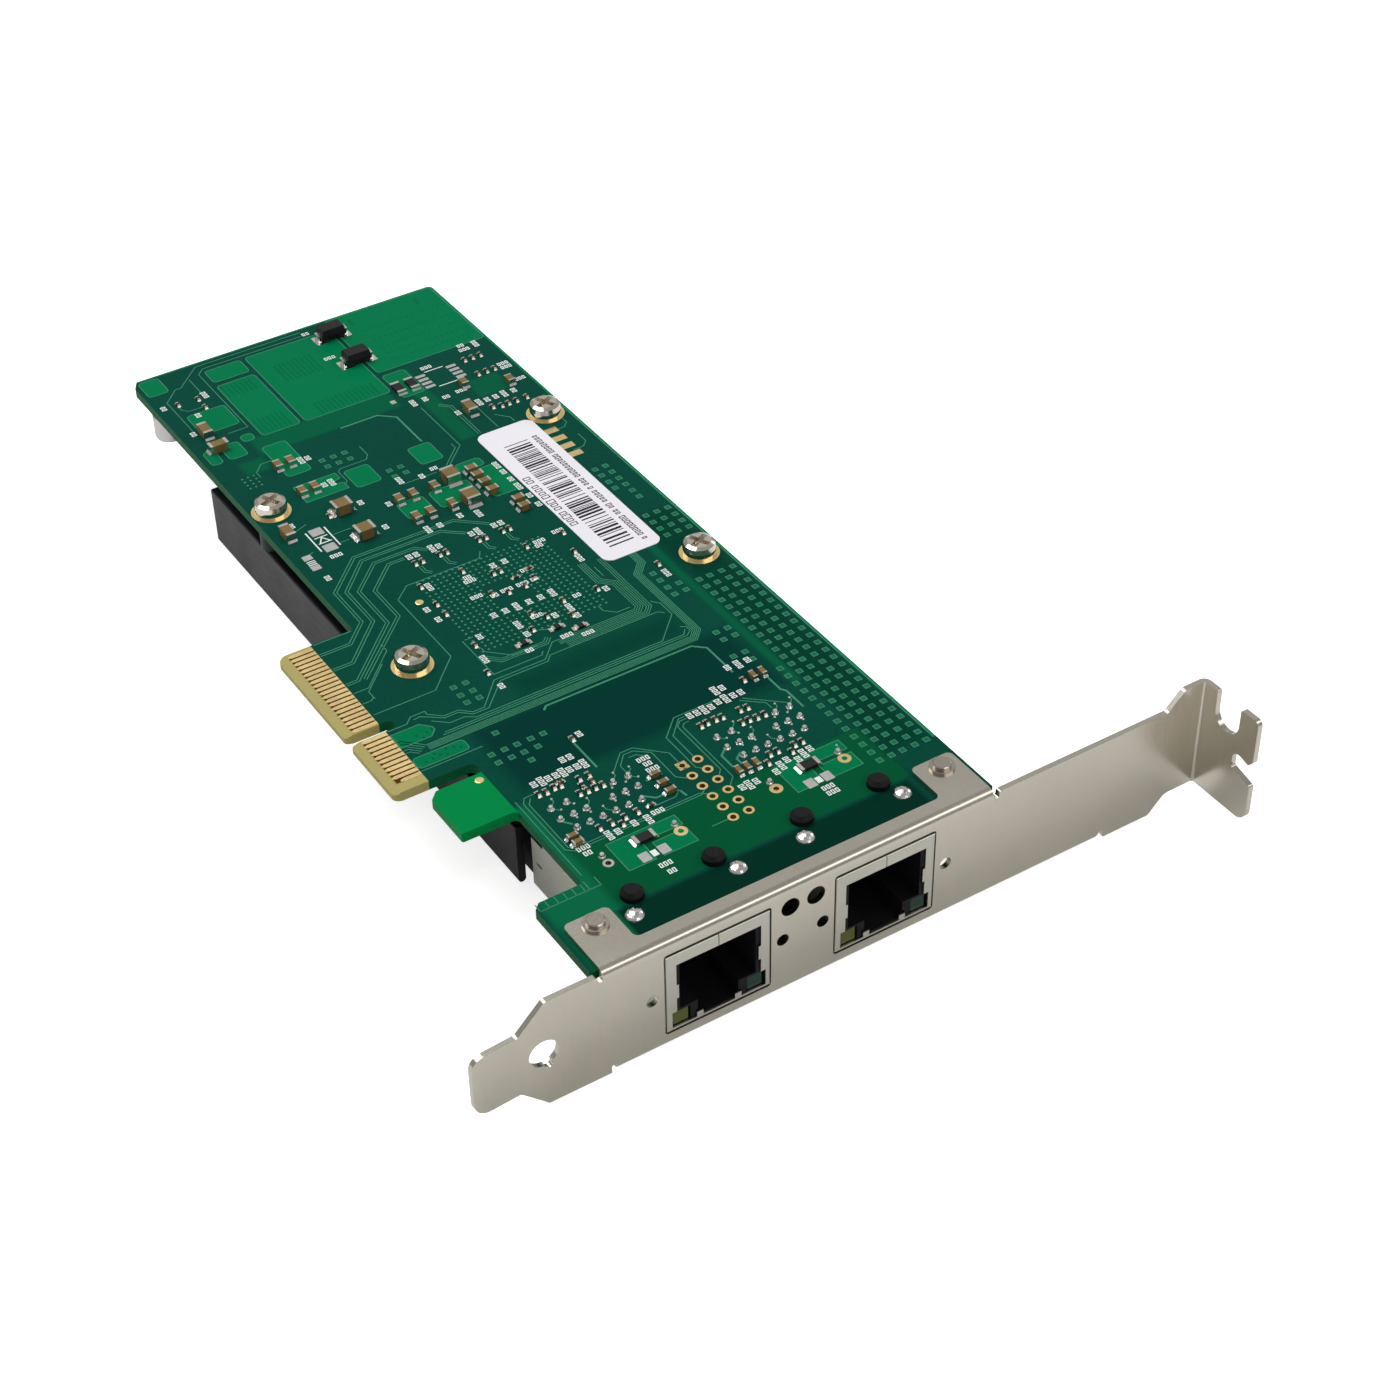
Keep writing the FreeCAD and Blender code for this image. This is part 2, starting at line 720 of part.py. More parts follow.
# The jack's shield: a thin folded box, open where the plug goes in and where the pins come out.
def make_shield(centre_x):
    half = jack_width / 2
    back = jack_front_y + jack_depth
    sheet = shield_sheet
    outer = box(centre_x - half, centre_x + half, jack_front_y, back, jack_bottom_z, jack_top_z)
    rim = outer.makeFillet(0.35, [edge for edge in outer.Edges if is_front_edge(edge, jack_front_y)])
    inner = box(centre_x - half + sheet, centre_x + half - sheet, jack_front_y + sheet,
                back - sheet, jack_bottom_z + sheet, jack_top_z - sheet)
    cuts = [inner]
    mouth_z = jack_top_z - mouth_top
    low_z = jack_bottom_z + (jack_height - mouth_top - mouth_height)
    step_z = jack_top_z - socket_roof - socket_height
    upper = mouth_width / 2
    lower = mouth_lower_width / 2
    corners = [
        (centre_x - lower, low_z, 0),
        (centre_x + lower, low_z, 0),
        (centre_x + lower, step_z, 0),
        (centre_x + upper, step_z, 0),
        (centre_x + upper, mouth_z, 0),
        (centre_x - upper, mouth_z, 0),
        (centre_x - upper, step_z, 0),
        (centre_x - lower, step_z, 0),
    ]
    near = jack_front_y - 0.1
    cuts.append(plate(corners, in_front(near), point(0, sheet + 0.2, 0)))
    cuts.append(box(centre_x - shield_seam / 2, centre_x + shield_seam / 2, near, near + sheet + 0.2,
                    mouth_z - 0.1, jack_top_z + 0.1))
    pins_near = bracket_face_y + lamp_pin_from_face - 1.0
    cuts.append(box(centre_x - half + 1.0, centre_x + half - 1.0, pins_near, back + 1,
                    jack_top_z - sheet - 0.1, jack_top_z + 1))
    peg_near = bracket_face_y + peg_from_face - peg_diameter / 2 - 0.4
    cuts.append(box(centre_x - half + 0.9, centre_x + half - 0.9, peg_near, peg_near + peg_diameter + 0.8,
                    jack_top_z - sheet - 0.1, jack_top_z + 1))
    for side in (-1, 1):
        wall = centre_x + side * half
        cuts.append(box(wall - 1, wall + 1, back - 3.1, back + 1, jack_top_z - 5.0, jack_top_z + 1))
        cuts.append(box(wall - 1, wall + 1, back - 2.6, back - 1.2, jack_top_z - 9.2, jack_top_z - 8.8))
    shell = cut_all(rim, cuts)
    parts = []
    for x, y in shield_leg_spots(centre_x):
        half_leg = shield_leg_width / 2
        parts.append(box(x - sheet / 2, x + sheet / 2, y - half_leg, y + half_leg,
                         jack_top_z - 1, board_top_z + shield_leg_above_board))
    spring_z = jack_top_z - mouth_top - 4.9
    for side in (-1, 1):
        edge = centre_x + side * upper
        corners = [
            (edge + side * 0.1, jack_front_y + 0.02, 0),
            (edge - side * 0.35, jack_front_y + 0.02, 0),
            (edge - side * 0.35, jack_front_y + sheet, 0),
            (edge - side * 0.15, jack_front_y + 3.2, 0),
            (edge + side * 0.1, jack_front_y + 3.2, 0),
        ]
        parts.append(plate(corners, in_plan(spring_z - 1.2), point(0, 0, 2.4)))
        x = centre_x + side * 3.0
        parts.append(box(x - 0.5, x + 0.5, jack_front_y + 0.02, jack_front_y + sheet,
                         jack_bottom_z + sheet, low_z + 0.8))
    return only_solid(shell.fuse(parts))


def is_front_edge(edge, y):
    return all(abs(vertex.Y - y) < 1e-6 for vertex in edge.Vertexes)


# The housing fills the shield: plug socket with latch slot, two lamp bays, pegs, rear bay.
def make_housing(centre_x):
    wall = shield_sheet + shield_gap
    half = jack_width / 2 - wall
    front = jack_front_y + wall
    back = jack_front_y + jack_depth - wall
    top = jack_top_z - wall
    bottom = jack_bottom_z + wall
    body = box(centre_x - half, centre_x + half, front, back, bottom, top)
    roof = jack_top_z - socket_roof
    floor = roof - socket_height
    near = front - 0.1
    socket = [
        (centre_x - latch_width / 2, floor - latch_height, 0),
        (centre_x + latch_width / 2, floor - latch_height, 0),
        (centre_x + latch_width / 2, floor, 0),
        (centre_x + socket_width / 2, floor, 0),
        (centre_x + socket_width / 2, roof, 0),
        (centre_x - socket_width / 2, roof, 0),
        (centre_x - socket_width / 2, floor, 0),
        (centre_x - latch_width / 2, floor, 0),
    ]
    cuts = [plate(socket, in_front(near), point(0, socket_depth, 0))]
    for side in (-1, 1):
        half_bay = lamp_width / 2 + lamp_clearance
        x = centre_x + side * lamp_offset
        cuts.append(box(x - half_bay, x + half_bay, near, front + lamp_length + lamp_clearance,
                        lamp_bottom_z() - lamp_clearance, lamp_bottom_z() + lamp_height + lamp_clearance))
        wall_x = centre_x + side * mouth_width / 2
        cuts.append(box(wall_x - 0.5, wall_x + 0.5, near, front + 3.3, roof - 6.1, roof - 3.4))
        tab_x = centre_x + side * 3.0
        cuts.append(box(tab_x - 0.6, tab_x + 0.6, near, front + 0.4, bottom - 0.1, bottom + 1.3))
    bay_near = back - magnetics_length - 0.1
    cuts.append(box(centre_x - half + magnetics_margin, centre_x + half - magnetics_margin,
                    bay_near, back + 1, top - 1.4 - magnetics_height, top - 1.4))
    for x, y in jack_pin_spots(centre_x):
        half_hole = pin_side / 2 + 0.05
        cuts.append(box(x - half_hole, x + half_hole, y - half_hole, y + half_hole, top - 1.6, top + 1))
    body = cut_all(body, cuts)
    pegs = []
    for x, y in peg_spots(centre_x):
        peg_top = board_top_z + peg_above_board
        peg = upright(peg_diameter / 2, x, y, top - 0.5, peg_top)
        rounded = [edge for edge in peg.Edges if all(abs(v.Z - peg_top) < 1e-6 for v in edge.Vertexes)]
        pegs.append(peg.makeChamfer(peg_crown, rounded))
    return only_solid(body.fuse(pegs))


def lamp_bottom_z():
    return jack_top_z - socket_roof - socket_height - latch_height - 0.02


# A lamp is a clear block with a rounded front, seen beside the latch slot.
def make_lamp(centre_x, side):
    front = jack_front_y + shield_sheet + shield_gap
    x = centre_x + side * lamp_offset
    low = lamp_bottom_z()
    half = lamp_width / 2
    corners = [
        (x - half, front + 0.1, 0.4),
        (x + half, front + 0.1, 0.4),
        (x + half, front + lamp_length, 0),
        (x - half, front + lamp_length, 0),
    ]
    return plate(corners, in_plan(low), point(0, 0, lamp_height))


# Eight springs run back from the socket's roof and slope down into the plug's way.
def make_springs(centre_x):
    front = jack_front_y + shield_sheet + shield_gap
    roof = jack_top_z - socket_roof
    top = roof - spring_thickness / 2
    path = [
        (front + 3.0, top),
        (front + 5.2, top),
        (front + 11.6, top - 3.0),
        (front + 12.8, top - 3.0),
    ]
    strips = []
    for i in range(springs):
        x = centre_x + (i - (springs - 1) / 2) * spring_pitch
        corners = ribbon_corners(path, spring_thickness)
        strips.append(plate(corners, in_side(x - spring_width / 2), point(spring_width, 0, 0)))
    return strips


def make_magnetics(centre_x):
    wall = shield_sheet + shield_gap
    half = jack_width / 2 - wall - magnetics_margin - 0.05
    back = jack_front_y + jack_depth - wall
    top = jack_top_z - wall - 1.4
    return box(centre_x - half, centre_x + half, back - magnetics_length, back,
               top - magnetics_height + 0.05, top)


def make_pins(centre_x):
    low = jack_top_z - shield_sheet - shield_gap - 1.4
    high = board_top_z + pin_above_board
    half = pin_side / 2
    return [box(x - half, x + half, y - half, y + half, low, high)
            for x, y in jack_pin_spots(centre_x)]


# The heat sink is one extruded section: a flat base with round-tipped fins along the board.
def make_heat_sink():
    root_z = sink_top_z - sink_base
    tip = sink_fin_thickness / 2 * 0.999
    high_x = sink_low_x + sink_width
    corners = [(high_x, sink_top_z, 0.3), (sink_low_x, sink_top_z, 0.3)]
    for i in range(sink_fins):
        x = sink_low_x + i * sink_fin_pitch
        if i > 0:
            corners.append((x, root_z, 0))
        corners.append((x, sink_bottom_z, tip))
        corners.append((x + sink_fin_thickness, sink_bottom_z, tip))
        if i < sink_fins - 1:
            corners.append((x + sink_fin_thickness, root_z, 0))
    body = plate(corners, in_front(sink_near_y), point(0, sink_length, 0))
    cuts = []
    for x in sink_screw_xs:
        for y in sink_screw_ys:
            cuts.append(upright(sink_tapped_diameter / 2, x, y, root_z + 0.4, sink_top_z + 0.1))
    return only_solid(cut_all(body, cuts))


# Pan-head screw with a cross recess that narrows towards its floor.
def make_sink_screw(x, y):
    seat = board_top_z
    half = screw_head_diameter / 2
    shank = screw_diameter / 2 - screw_thread_gap
    top = seat + screw_head_height
    end = seat - screw_length
    corners = [
        (0, end, 0),
        (shank, end, 0),
        (shank, seat, 0),
        (half, seat, 0),
        (half, seat + screw_head_height * screw_crown_start, 0),
        (half * screw_shoulder_share, seat + screw_head_height * screw_shoulder_rise, 0),
        (half * screw_crown_share, top, 0),
        (0, top, 0),
    ]
    section = rounded_face(corners, in_front(0))
    solid = section.revolve(point(0, 0, 0), point(0, 0, 1), 360)
    wings = []
    for along_x in (True, False):
        wings.append(recess_wing(top, along_x))
    solid = solid.cut(wings[0].fuse(wings[1]))
    solid.rotate(point(0, 0, 0), point(0, 0, 1), screw_turn)
    solid.translate(point(x, y, 0))
    return only_solid(solid)


def recess_wing(top, along_x):
    wide = screw_recess_width / 2
    narrow = wide * 0.45
    blade = screw_recess_blade
    floor = top - screw_recess_depth
    lower = [(-narrow, -blade * 0.8), (narrow, -blade * 0.8), (narrow, blade * 0.8), (-narrow, blade * 0.8)]
    upper = [(-wide, -blade), (wide, -blade), (wide, blade), (-wide, blade)]
    wires = []
    for ring, z in ((lower, floor), (upper, top + 0.05)):
        spots = [point(u, v, z) if along_x else point(-v, u, z) for u, v in ring]
        wires.append(Part.makePolygon(spots + spots[:1]))
    return Part.makeLoft(wires, True, True)


def make_bush(x, y):
    outer = upright(bush_diameter / 2, x, y, sink_top_z, board_bottom_z)
    return outer.cut(upright(bush_bore / 2, x, y, sink_top_z - 1, board_bottom_z + 1))


# The controller's package: a flat carrier with a slightly smaller moulded cap.
def make_controller():
    half = controller_side / 2
    low = board_bottom_z - controller_height
    step = board_bottom_z - controller_substrate
    carrier = box(controller_x - half, controller_x + half, controller_y - half, controller_y + half,
                  step, board_bottom_z)
    cap_half = half - controller_cap_inset
    cap = box(controller_x - cap_half, controller_x + cap_half, controller_y - cap_half,
              controller_y + cap_half, low, step)
    rim = [edge for edge in cap.Edges if all(abs(v.Z - low) < 1e-6 for v in edge.Vertexes)]
    return only_solid(carrier.fuse(cap.makeChamfer(0.4, rim)))


def make_thermal_pad():
    half = pad_side / 2
    return box(controller_x - half, controller_x + half, controller_y - half, controller_y + half,
               sink_top_z, board_bottom_z - controller_height)


def make_label():
    half_x = label_width / 2
    half_y = label_length / 2
    corners = [
        (label_x - half_x, label_y - half_y, label_corner),
        (label_x + half_x, label_y - half_y, label_corner),
        (label_x + half_x, label_y + half_y, label_corner),
        (label_x - half_x, label_y + half_y, label_corner),
    ]
    return plate(corners, in_plan(board_top_z), point(0, 0, label_thickness))


# Chip parts on the solder side: centre, length, width, height, and whether they lie along y.
chip_end_share = 0.16
chip_end_skin = 0.03


def chip_block(x, y, start, stop, width, low, high, along_y):
    side = width / 2
    if along_y:
        return box(x - side, x + side, y + start, y + stop, low, high)
    return box(x + start, x + stop, y - side, y + side, low, high)


def chip_body(x, y, length, width, height, along_y):
    half = length * (0.5 - chip_end_share)
    low = board_top_z + chip_end_skin
    high = board_top_z + height - chip_end_skin
    return chip_block(x, y, -half, half, width - 2 * chip_end_skin, low, high, along_y)


def chip_ends(x, y, length, width, height, along_y):
    half = length / 2
    inner = length * (0.5 - chip_end_share)
    top = board_top_z + height
    return [
        chip_block(x, y, -half, -inner, width, board_top_z, top, along_y),
        chip_block(x, y, inner, half, width, board_top_z, top, along_y),
    ]


large_chip_size = (3.0, 2.35, 1.75)
medium_chip_size = (3.2, 1.6, 1.5)
small_chip_size = (1.9, 1.25, 1.1)
narrow_chip_size = (1.6, 0.8, 0.8)
resistor_size = (3.2, 1.6, 0.6)
large_chips = [
    (24.9, 42.4, False),
    (24.9, 50.1, False),
    (42.75, 41.2, True),
    (42.95, 48.0, True),
]
medium_chips = [
    (55.1, 63.4, True),
    (16.3, 81.4, True),
    (16.2, 76.2, False),
    (14.8, 48.6, True),
]
small_chips = [
    (48.7, 34.8, False),
    (48.9, 37.0, False),
    (46.8, 41.4, False),
    (46.8, 43.9, False),
    (46.8, 46.2, False),
    (46.8, 48.2, False),
    (39.7, 41.5, True),
    (39.7, 47.2, True),
    (35.9, 41.5, True),
    (35.9, 47.2, True),
    (33.4, 41.5, True),
    (33.4, 47.2, True),
    (sink_screw_xs[0] + 8.295, 57.6, True),
    (sink_screw_xs[0] + 6.095, 57.6, True),
    (24.0, 66.2, True),
    (21.8, 66.2, True),
    (58.1, 70.9, True),
    (board_height - 4.0, 67.4, True),
]
narrow_chips = [
    (jack_left_x + 8.75, -34.0, False),
    (jack_left_x + 8.75, -32.1, False),
    (jack_left_x + 8.75, -30.0, False),
    (jack_left_x - 7.15, -36.0, False),
    (jack_left_x - 7.15, -34.6, False),
    (jack_right_x - 8.1, -35.8, True),
    (jack_right_x - 6.7, -35.8, True),
    (jack_right_x - 5.2, -35.8, True),
    (54.9, -19.6, True),
    (56.5, -19.6, True),
]
resistors = [
    (51.0, 75.8, True),
    (48.5, 75.8, True),
    (jack_right_x + 0.6, -40.0, False),
    (jack_left_x + 0.75, -40.0, False),
]


def chip_group(places, size):
    bodies = []
    ends = []
    for x, y, along_y in places:
        bodies.append(chip_body(x, y, *size, along_y))
        ends.extend(chip_ends(x, y, *size, along_y))
    return bodies, ends


# Two power diodes lie across the board, each a moulded block on two bent leads.
diode_length = 4.3
diode_width = 2.7
diode_height = 2.2
diode_lead_width = 1.5
diode_lead_sheet = 0.2
diode_lead_reach = 0.5
diode_x = 46.9
diode_ys = [87.6, 96.9]
diode_lift = 0.1


def make_diode_body(y):
    low = board_top_z + diode_lift
    half = diode_length / 2
    side = diode_width / 2
    top = board_top_z + diode_height
    mid = (low + top) / 2
    draft = 0.18
    rings = []
    for z, inset in ((low, draft), (mid, 0), (top, draft)):
        spots = [
            point(diode_x - half + inset, y - side + inset, z),
            point(diode_x + half - inset, y - side + inset, z),
            point(diode_x + half - inset, y + side - inset, z),
            point(diode_x - half + inset, y + side - inset, z),
        ]
        rings.append(Part.makePolygon(spots + spots[:1]))
    lower = Part.makeLoft(rings[:2], True, True)
    upper = Part.makeLoft(rings[1:], True, True)
    return only_solid(lower.fuse(upper))


def make_diode_leads(y):
    half = diode_length / 2
    leads = []
    for side in (-1, 1):
        out = diode_x + side * (half + diode_lead_reach)
        path = [
            (diode_x + side * (half + 0.02), board_top_z + diode_height / 2),
            (out, board_top_z + diode_height / 2),
            (out, board_top_z + diode_lead_sheet / 2),
            (diode_x + side * (half + 0.1), board_top_z + diode_lead_sheet / 2),
        ]
        corners = ribbon_corners(path, diode_lead_sheet)
        start = y - diode_lead_width / 2
        leads.append(plate(corners, in_front(start), point(0, diode_lead_width, 0)))
    return leads


# The can capacitor hangs from the component side: a drawn cup with a rolled neck on a base plate.
can_diameter = 5.0
can_height = 5.8
can_base_height = 0.4
can_base_side = 4.8
can_base_corner = 0.9
can_x = 15.35
can_y = 95.1
can_neck_from_top = 0.7
can_neck_depth = 0.25
can_rim_bevel = 0.2
can_foot_bevel = 0.6
can_foot_shoulder = 0.18


def make_can():
    half = can_diameter / 2
    top = board_bottom_z - can_base_height
    low = board_bottom_z - can_height
    neck = top - can_neck_from_top
    corners = [
        (0, top, 0),
        (half - can_rim_bevel, top, 0),
        (half, top - can_rim_bevel, 0),
        (half, neck + can_neck_depth, 0),
        (half - can_neck_depth, neck, 0),
        (half, neck - can_neck_depth, 0),
        (half, low + can_foot_bevel, 0),
        (half - can_foot_shoulder, low + can_foot_shoulder, 0),
        (half - can_foot_bevel, low, 0),
        (0, low, 0),
    ]
    section = rounded_face(corners, in_front(0))
    solid = section.revolve(point(0, 0, 0), point(0, 0, 1), 360)
    solid.translate(point(can_x, can_y, 0))
    return solid


def make_can_base():
    half = can_base_side / 2
    cut = half - can_base_corner
    corners = [
        (can_x - half, can_y - half, 0.2),
        (can_x + half, can_y - half, 0.2),
        (can_x + half, can_y + cut, 0),
        (can_x + cut, can_y + half, 0),
        (can_x - cut, can_y + half, 0),
        (can_x - half, can_y + cut, 0),
    ]
    return plate(corners, in_plan(board_bottom_z - can_base_height), point(0, 0, can_base_height))


# A moulded block on the component side, hanging from the board with a bevelled face.
def hanging_block(x, y, size, bevel):
    along_x, along_y, height = size
    low = board_bottom_z - height
    block = box(x - along_x / 2, x + along_x / 2, y - along_y / 2, y + along_y / 2, low, board_bottom_z)
    rim = [edge for edge in block.Edges if all(abs(v.Z - low) < 1e-6 for v in edge.Vertexes)]
    return block.makeChamfer(bevel, rim)


def save(name, shapes):
    solids = []
    for shape in shapes:
        solids.extend(shape.Solids)
    for solid in solids:
        if not solid.isValid() or solid.Volume <= 0:
            print("not sound:", name, solid.Volume)
    whole = solids[0] if len(solids) == 1 else Part.makeCompound(solids)
    whole.exportStep("parts/" + name + ".step")
    print(name, len(solids), round(sum(solid.Volume for solid in solids), 2))


def main():
    os.makedirs("parts", exist_ok=True)
    save("circuit_board", [make_board()])
    save("edge_contacts_solder_side", make_fingers(1))
    save("edge_contacts_component_side", make_fingers(-1))
    save("bracket", [make_bracket()])
    save("bracket_rivets", [make_rivet(x) for x in rivet_xs])
    for side_name, centre_x in zip(("left", "right"), jack_centres):
        save("jack_shield_" + side_name, [make_shield(centre_x)])
        save("jack_housing_" + side_name, [make_housing(centre_x)])
        save("jack_lamp_yellow_" + side_name, [make_lamp(centre_x, -1)])
        save("jack_lamp_green_" + side_name, [make_lamp(centre_x, 1)])
        save("jack_contacts_" + side_name, make_springs(centre_x))
        save("jack_magnetics_" + side_name, [make_magnetics(centre_x)])
        save("jack_pins_" + side_name, make_pins(centre_x))
    save("heat_sink", [make_heat_sink()])
    spots = [(x, y) for x in sink_screw_xs for y in sink_screw_ys]
    save("heat_sink_screws", [make_sink_screw(x, y) for x, y in spots])
    save("heat_sink_standoffs", [make_bush(x, y) for x, y in spots])
    save("controller_chip", [make_controller()])
    save("thermal_pad", [make_thermal_pad()])
    save("label", [make_label()])
    bodies, ends = chip_group(large_chips, large_chip_size)
    save("large_capacitor_bodies", bodies)
    save("large_capacitor_ends", ends)
    medium_bodies, medium_ends = chip_group(medium_chips, medium_chip_size)
    small_bodies, small_ends = chip_group(small_chips, small_chip_size)
    narrow_bodies, narrow_ends = chip_group(narrow_chips, narrow_chip_size)
    save("small_capacitor_bodies", medium_bodies + small_bodies + narrow_bodies)
    save("small_capacitor_ends", medium_ends + small_ends + narrow_ends)
    bodies, ends = chip_group(resistors, resistor_size)
    save("resistor_bodies", bodies)
    save("resistor_ends", ends)
    save("diode_bodies", [make_diode_body(y) for y in diode_ys])
    leads = []
    for y in diode_ys:
        leads.extend(make_diode_leads(y))
    save("diode_leads", leads)
    save("can_capacitor", [make_can()])
    save("can_capacitor_base", [make_can_base()])
    save("memory_chip", [hanging_block(*memory_place, memory_size, moulding_bevel)])
    save("crystal", [hanging_block(*crystal_place, crystal_size, moulding_bevel)])
    save("regulator_chips",
         [hanging_block(x, regulator_y, regulator_size, moulding_bevel) for x in regulator_xs])
    save("regulator_coils",
         [hanging_block(x, regulator_coil_y, regulator_coil_size, coil_bevel) for x in regulator_xs])
    power_coil_size = (power_coil_side, power_coil_side, power_coil_height)
    save("power_coil", [hanging_block(power_coil_x, power_coil_y, power_coil_size, coil_bevel * 2)])
    save("power_transistors",
         [hanging_block(x, transistor_y, transistor_size, moulding_bevel) for x in transistor_xs])


main()
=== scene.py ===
# %% [markdown]
# # A network interface card
#
# The card lies with its solder side up, as in the photograph. The solids come from the imported model and
# stay as they are. This lesson dresses them: it adds what is printed, plated and soldered on the board, and
# gives each piece a finish. First the imported model is loaded, and its box is kept.

# %% Load the model
import bmesh
import bpy
import math
import random
from mathutils import Matrix, Vector


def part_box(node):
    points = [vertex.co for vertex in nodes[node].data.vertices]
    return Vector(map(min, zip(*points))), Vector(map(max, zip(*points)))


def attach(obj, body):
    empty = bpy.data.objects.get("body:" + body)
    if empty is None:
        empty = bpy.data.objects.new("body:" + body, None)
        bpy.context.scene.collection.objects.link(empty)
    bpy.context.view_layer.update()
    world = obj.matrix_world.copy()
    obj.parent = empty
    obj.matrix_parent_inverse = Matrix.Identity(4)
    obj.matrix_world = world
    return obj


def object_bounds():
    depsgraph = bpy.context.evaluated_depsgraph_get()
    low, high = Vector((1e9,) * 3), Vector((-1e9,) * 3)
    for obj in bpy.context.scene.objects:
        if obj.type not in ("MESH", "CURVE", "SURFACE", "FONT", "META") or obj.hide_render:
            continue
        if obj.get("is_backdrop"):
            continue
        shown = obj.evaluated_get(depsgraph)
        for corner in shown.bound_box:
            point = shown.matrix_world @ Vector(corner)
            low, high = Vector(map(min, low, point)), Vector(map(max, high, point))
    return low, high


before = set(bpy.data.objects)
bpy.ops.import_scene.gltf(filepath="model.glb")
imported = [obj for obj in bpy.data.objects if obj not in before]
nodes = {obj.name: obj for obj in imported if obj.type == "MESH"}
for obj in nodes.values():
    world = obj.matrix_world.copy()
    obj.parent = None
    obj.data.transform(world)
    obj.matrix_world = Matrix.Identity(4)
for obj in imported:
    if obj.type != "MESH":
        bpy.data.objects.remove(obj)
cad_low, cad_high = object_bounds()
mm = 0.001
print("nodes:", len(nodes), "box:", [round(v / mm, 1) for v in cad_high - cad_low])

# %% [markdown]
# ## The camera
#
# The photograph's vanishing lines fix where the camera stood. Its place and its three turns are named here,
# and the lens is given by how many pixels a metre covers at one metre. Nothing is shifted, because the
# photograph isn't cropped off centre.

# %% Camera
picture_side = 1400
pixels_per_unit = 2715.48
camera_place = Vector((-114.083, -270.678, 245.057)) * mm
camera_turn = 0.567242582
camera_dip = 0.687207659
camera_roll = -0.0147564424

forward = Vector((
    math.sin(camera_turn) * math.cos(camera_dip),
    math.cos(camera_turn) * math.cos(camera_dip),
    -math.sin(camera_dip),
))
level_right = Vector((math.cos(camera_turn), -math.sin(camera_turn), 0))
level_up = level_right.cross(forward)
camera_right = level_right * math.cos(camera_roll) + level_up * math.sin(camera_roll)
camera_up = level_up * math.cos(camera_roll) - level_right * math.sin(camera_roll)

camera_data = bpy.data.cameras.new("camera")
camera_data.sensor_width = 36
camera_data.lens = camera_data.sensor_width * pixels_per_unit / picture_side
camera_data.clip_start = 0.01
camera = bpy.data.objects.new("camera", camera_data)
turn = Matrix((camera_right, camera_up, -forward)).transposed()
camera.matrix_world = Matrix.Translation(camera_place) @ turn.to_4x4()
bpy.context.scene.collection.objects.link(camera)
bpy.context.scene.camera = camera
print("lens:", round(camera_data.lens, 2), "mm")

# %% [markdown]
# ## Floor and light
#
# The card rests on the bracket's lower edge and on the far edge of the heat sink, so the floor passes
# through both. It is white. What the camera sees of it gets a light of its own, so that it blends into the
# white background and still holds a faint shadow, and what gloss and metal mirror of it gets a little. The
# lamps are large and weak, as in a light tent. A material is a tree of nodes, so some small helpers come
# first. One fills a node's sockets, with a link where it is given another node's output and with a plain
# value otherwise. The others add a node, mix two colours, start a material and make an object of a mesh.

# %% Nodes and sockets
def set_sockets(tree, node, values):
    for socket, value in values.items():
        if isinstance(value, bpy.types.NodeSocket):
            tree.links.new(value, node.inputs[socket])
        else:
            node.inputs[socket].default_value = value


def add_node(tree, kind, values=None, **settings):
    node = tree.nodes.new("ShaderNode" + kind)
    for name, value in settings.items():
        setattr(node, name, value)
    set_sockets(tree, node, values or {})
    return node


def mix_colors(tree, factor, first, second):
    mix = add_node(tree, "Mix", {"Factor": factor, "A": first, "B": second}, data_type="RGBA")
    return mix.outputs["Result"]


def new_material(name):
    material = bpy.data.materials.new(name)
    material.use_nodes = True
    tree = material.node_tree
    return material, tree, tree.nodes["Principled BSDF"]


def new_object(name, bm, material):
    mesh = bpy.data.meshes.new(name)
    bm.to_mesh(mesh)
    bm.free()
    mesh.materials.append(material)
    thing = bpy.data.objects.new(name, mesh)
    bpy.context.scene.collection.objects.link(thing)
    return thing


# %% Floor
bracket_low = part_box("bracket")[0]
sink_low, sink_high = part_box("heat_sink")
floor_gap = 0.02 * mm
floor_slope = (sink_low.z - bracket_low.z) / (sink_high.y - bracket_low.y)
floor_reach = 2.0
paper_white = (0.86, 0.86, 0.86, 1)
paper_glow = 0.75
mirrored_glow = 0.1


def make_floor():
    bm = bmesh.new()
    bmesh.ops.create_grid(bm, x_segments=1, y_segments=1, size=floor_reach)
    for vertex in bm.verts:
        rise = (vertex.co.y - bracket_low.y) * floor_slope
        vertex.co.z = bracket_low.z - floor_gap + rise
    material, tree, shader = new_material("white_paper")
    rays = add_node(tree, "LightPath").outputs
    seen = add_node(tree, "Math", {0: rays["Is Camera Ray"], 1: paper_glow}, operation="MULTIPLY")
    glow = add_node(tree, "Math", {0: rays["Is Glossy Ray"], 1: mirrored_glow, 2: seen.outputs[0]},
                    operation="MULTIPLY_ADD")
    set_sockets(tree, shader, {
        "Base Color": paper_white,
        "Roughness": 0.9,
        "Specular IOR Level": 0.1,
        "Emission Color": (1, 1, 1, 1),
        "Emission Strength": glow.outputs[0],
    })
    floor = new_object("floor", bm, material)
    floor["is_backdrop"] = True
    return floor


floor = make_floor()
print("floor slope:", round(math.degrees(math.atan(floor_slope)), 2), "degrees")

# %% Light
middle = (cad_low + cad_high) / 2
world_level = 0.35


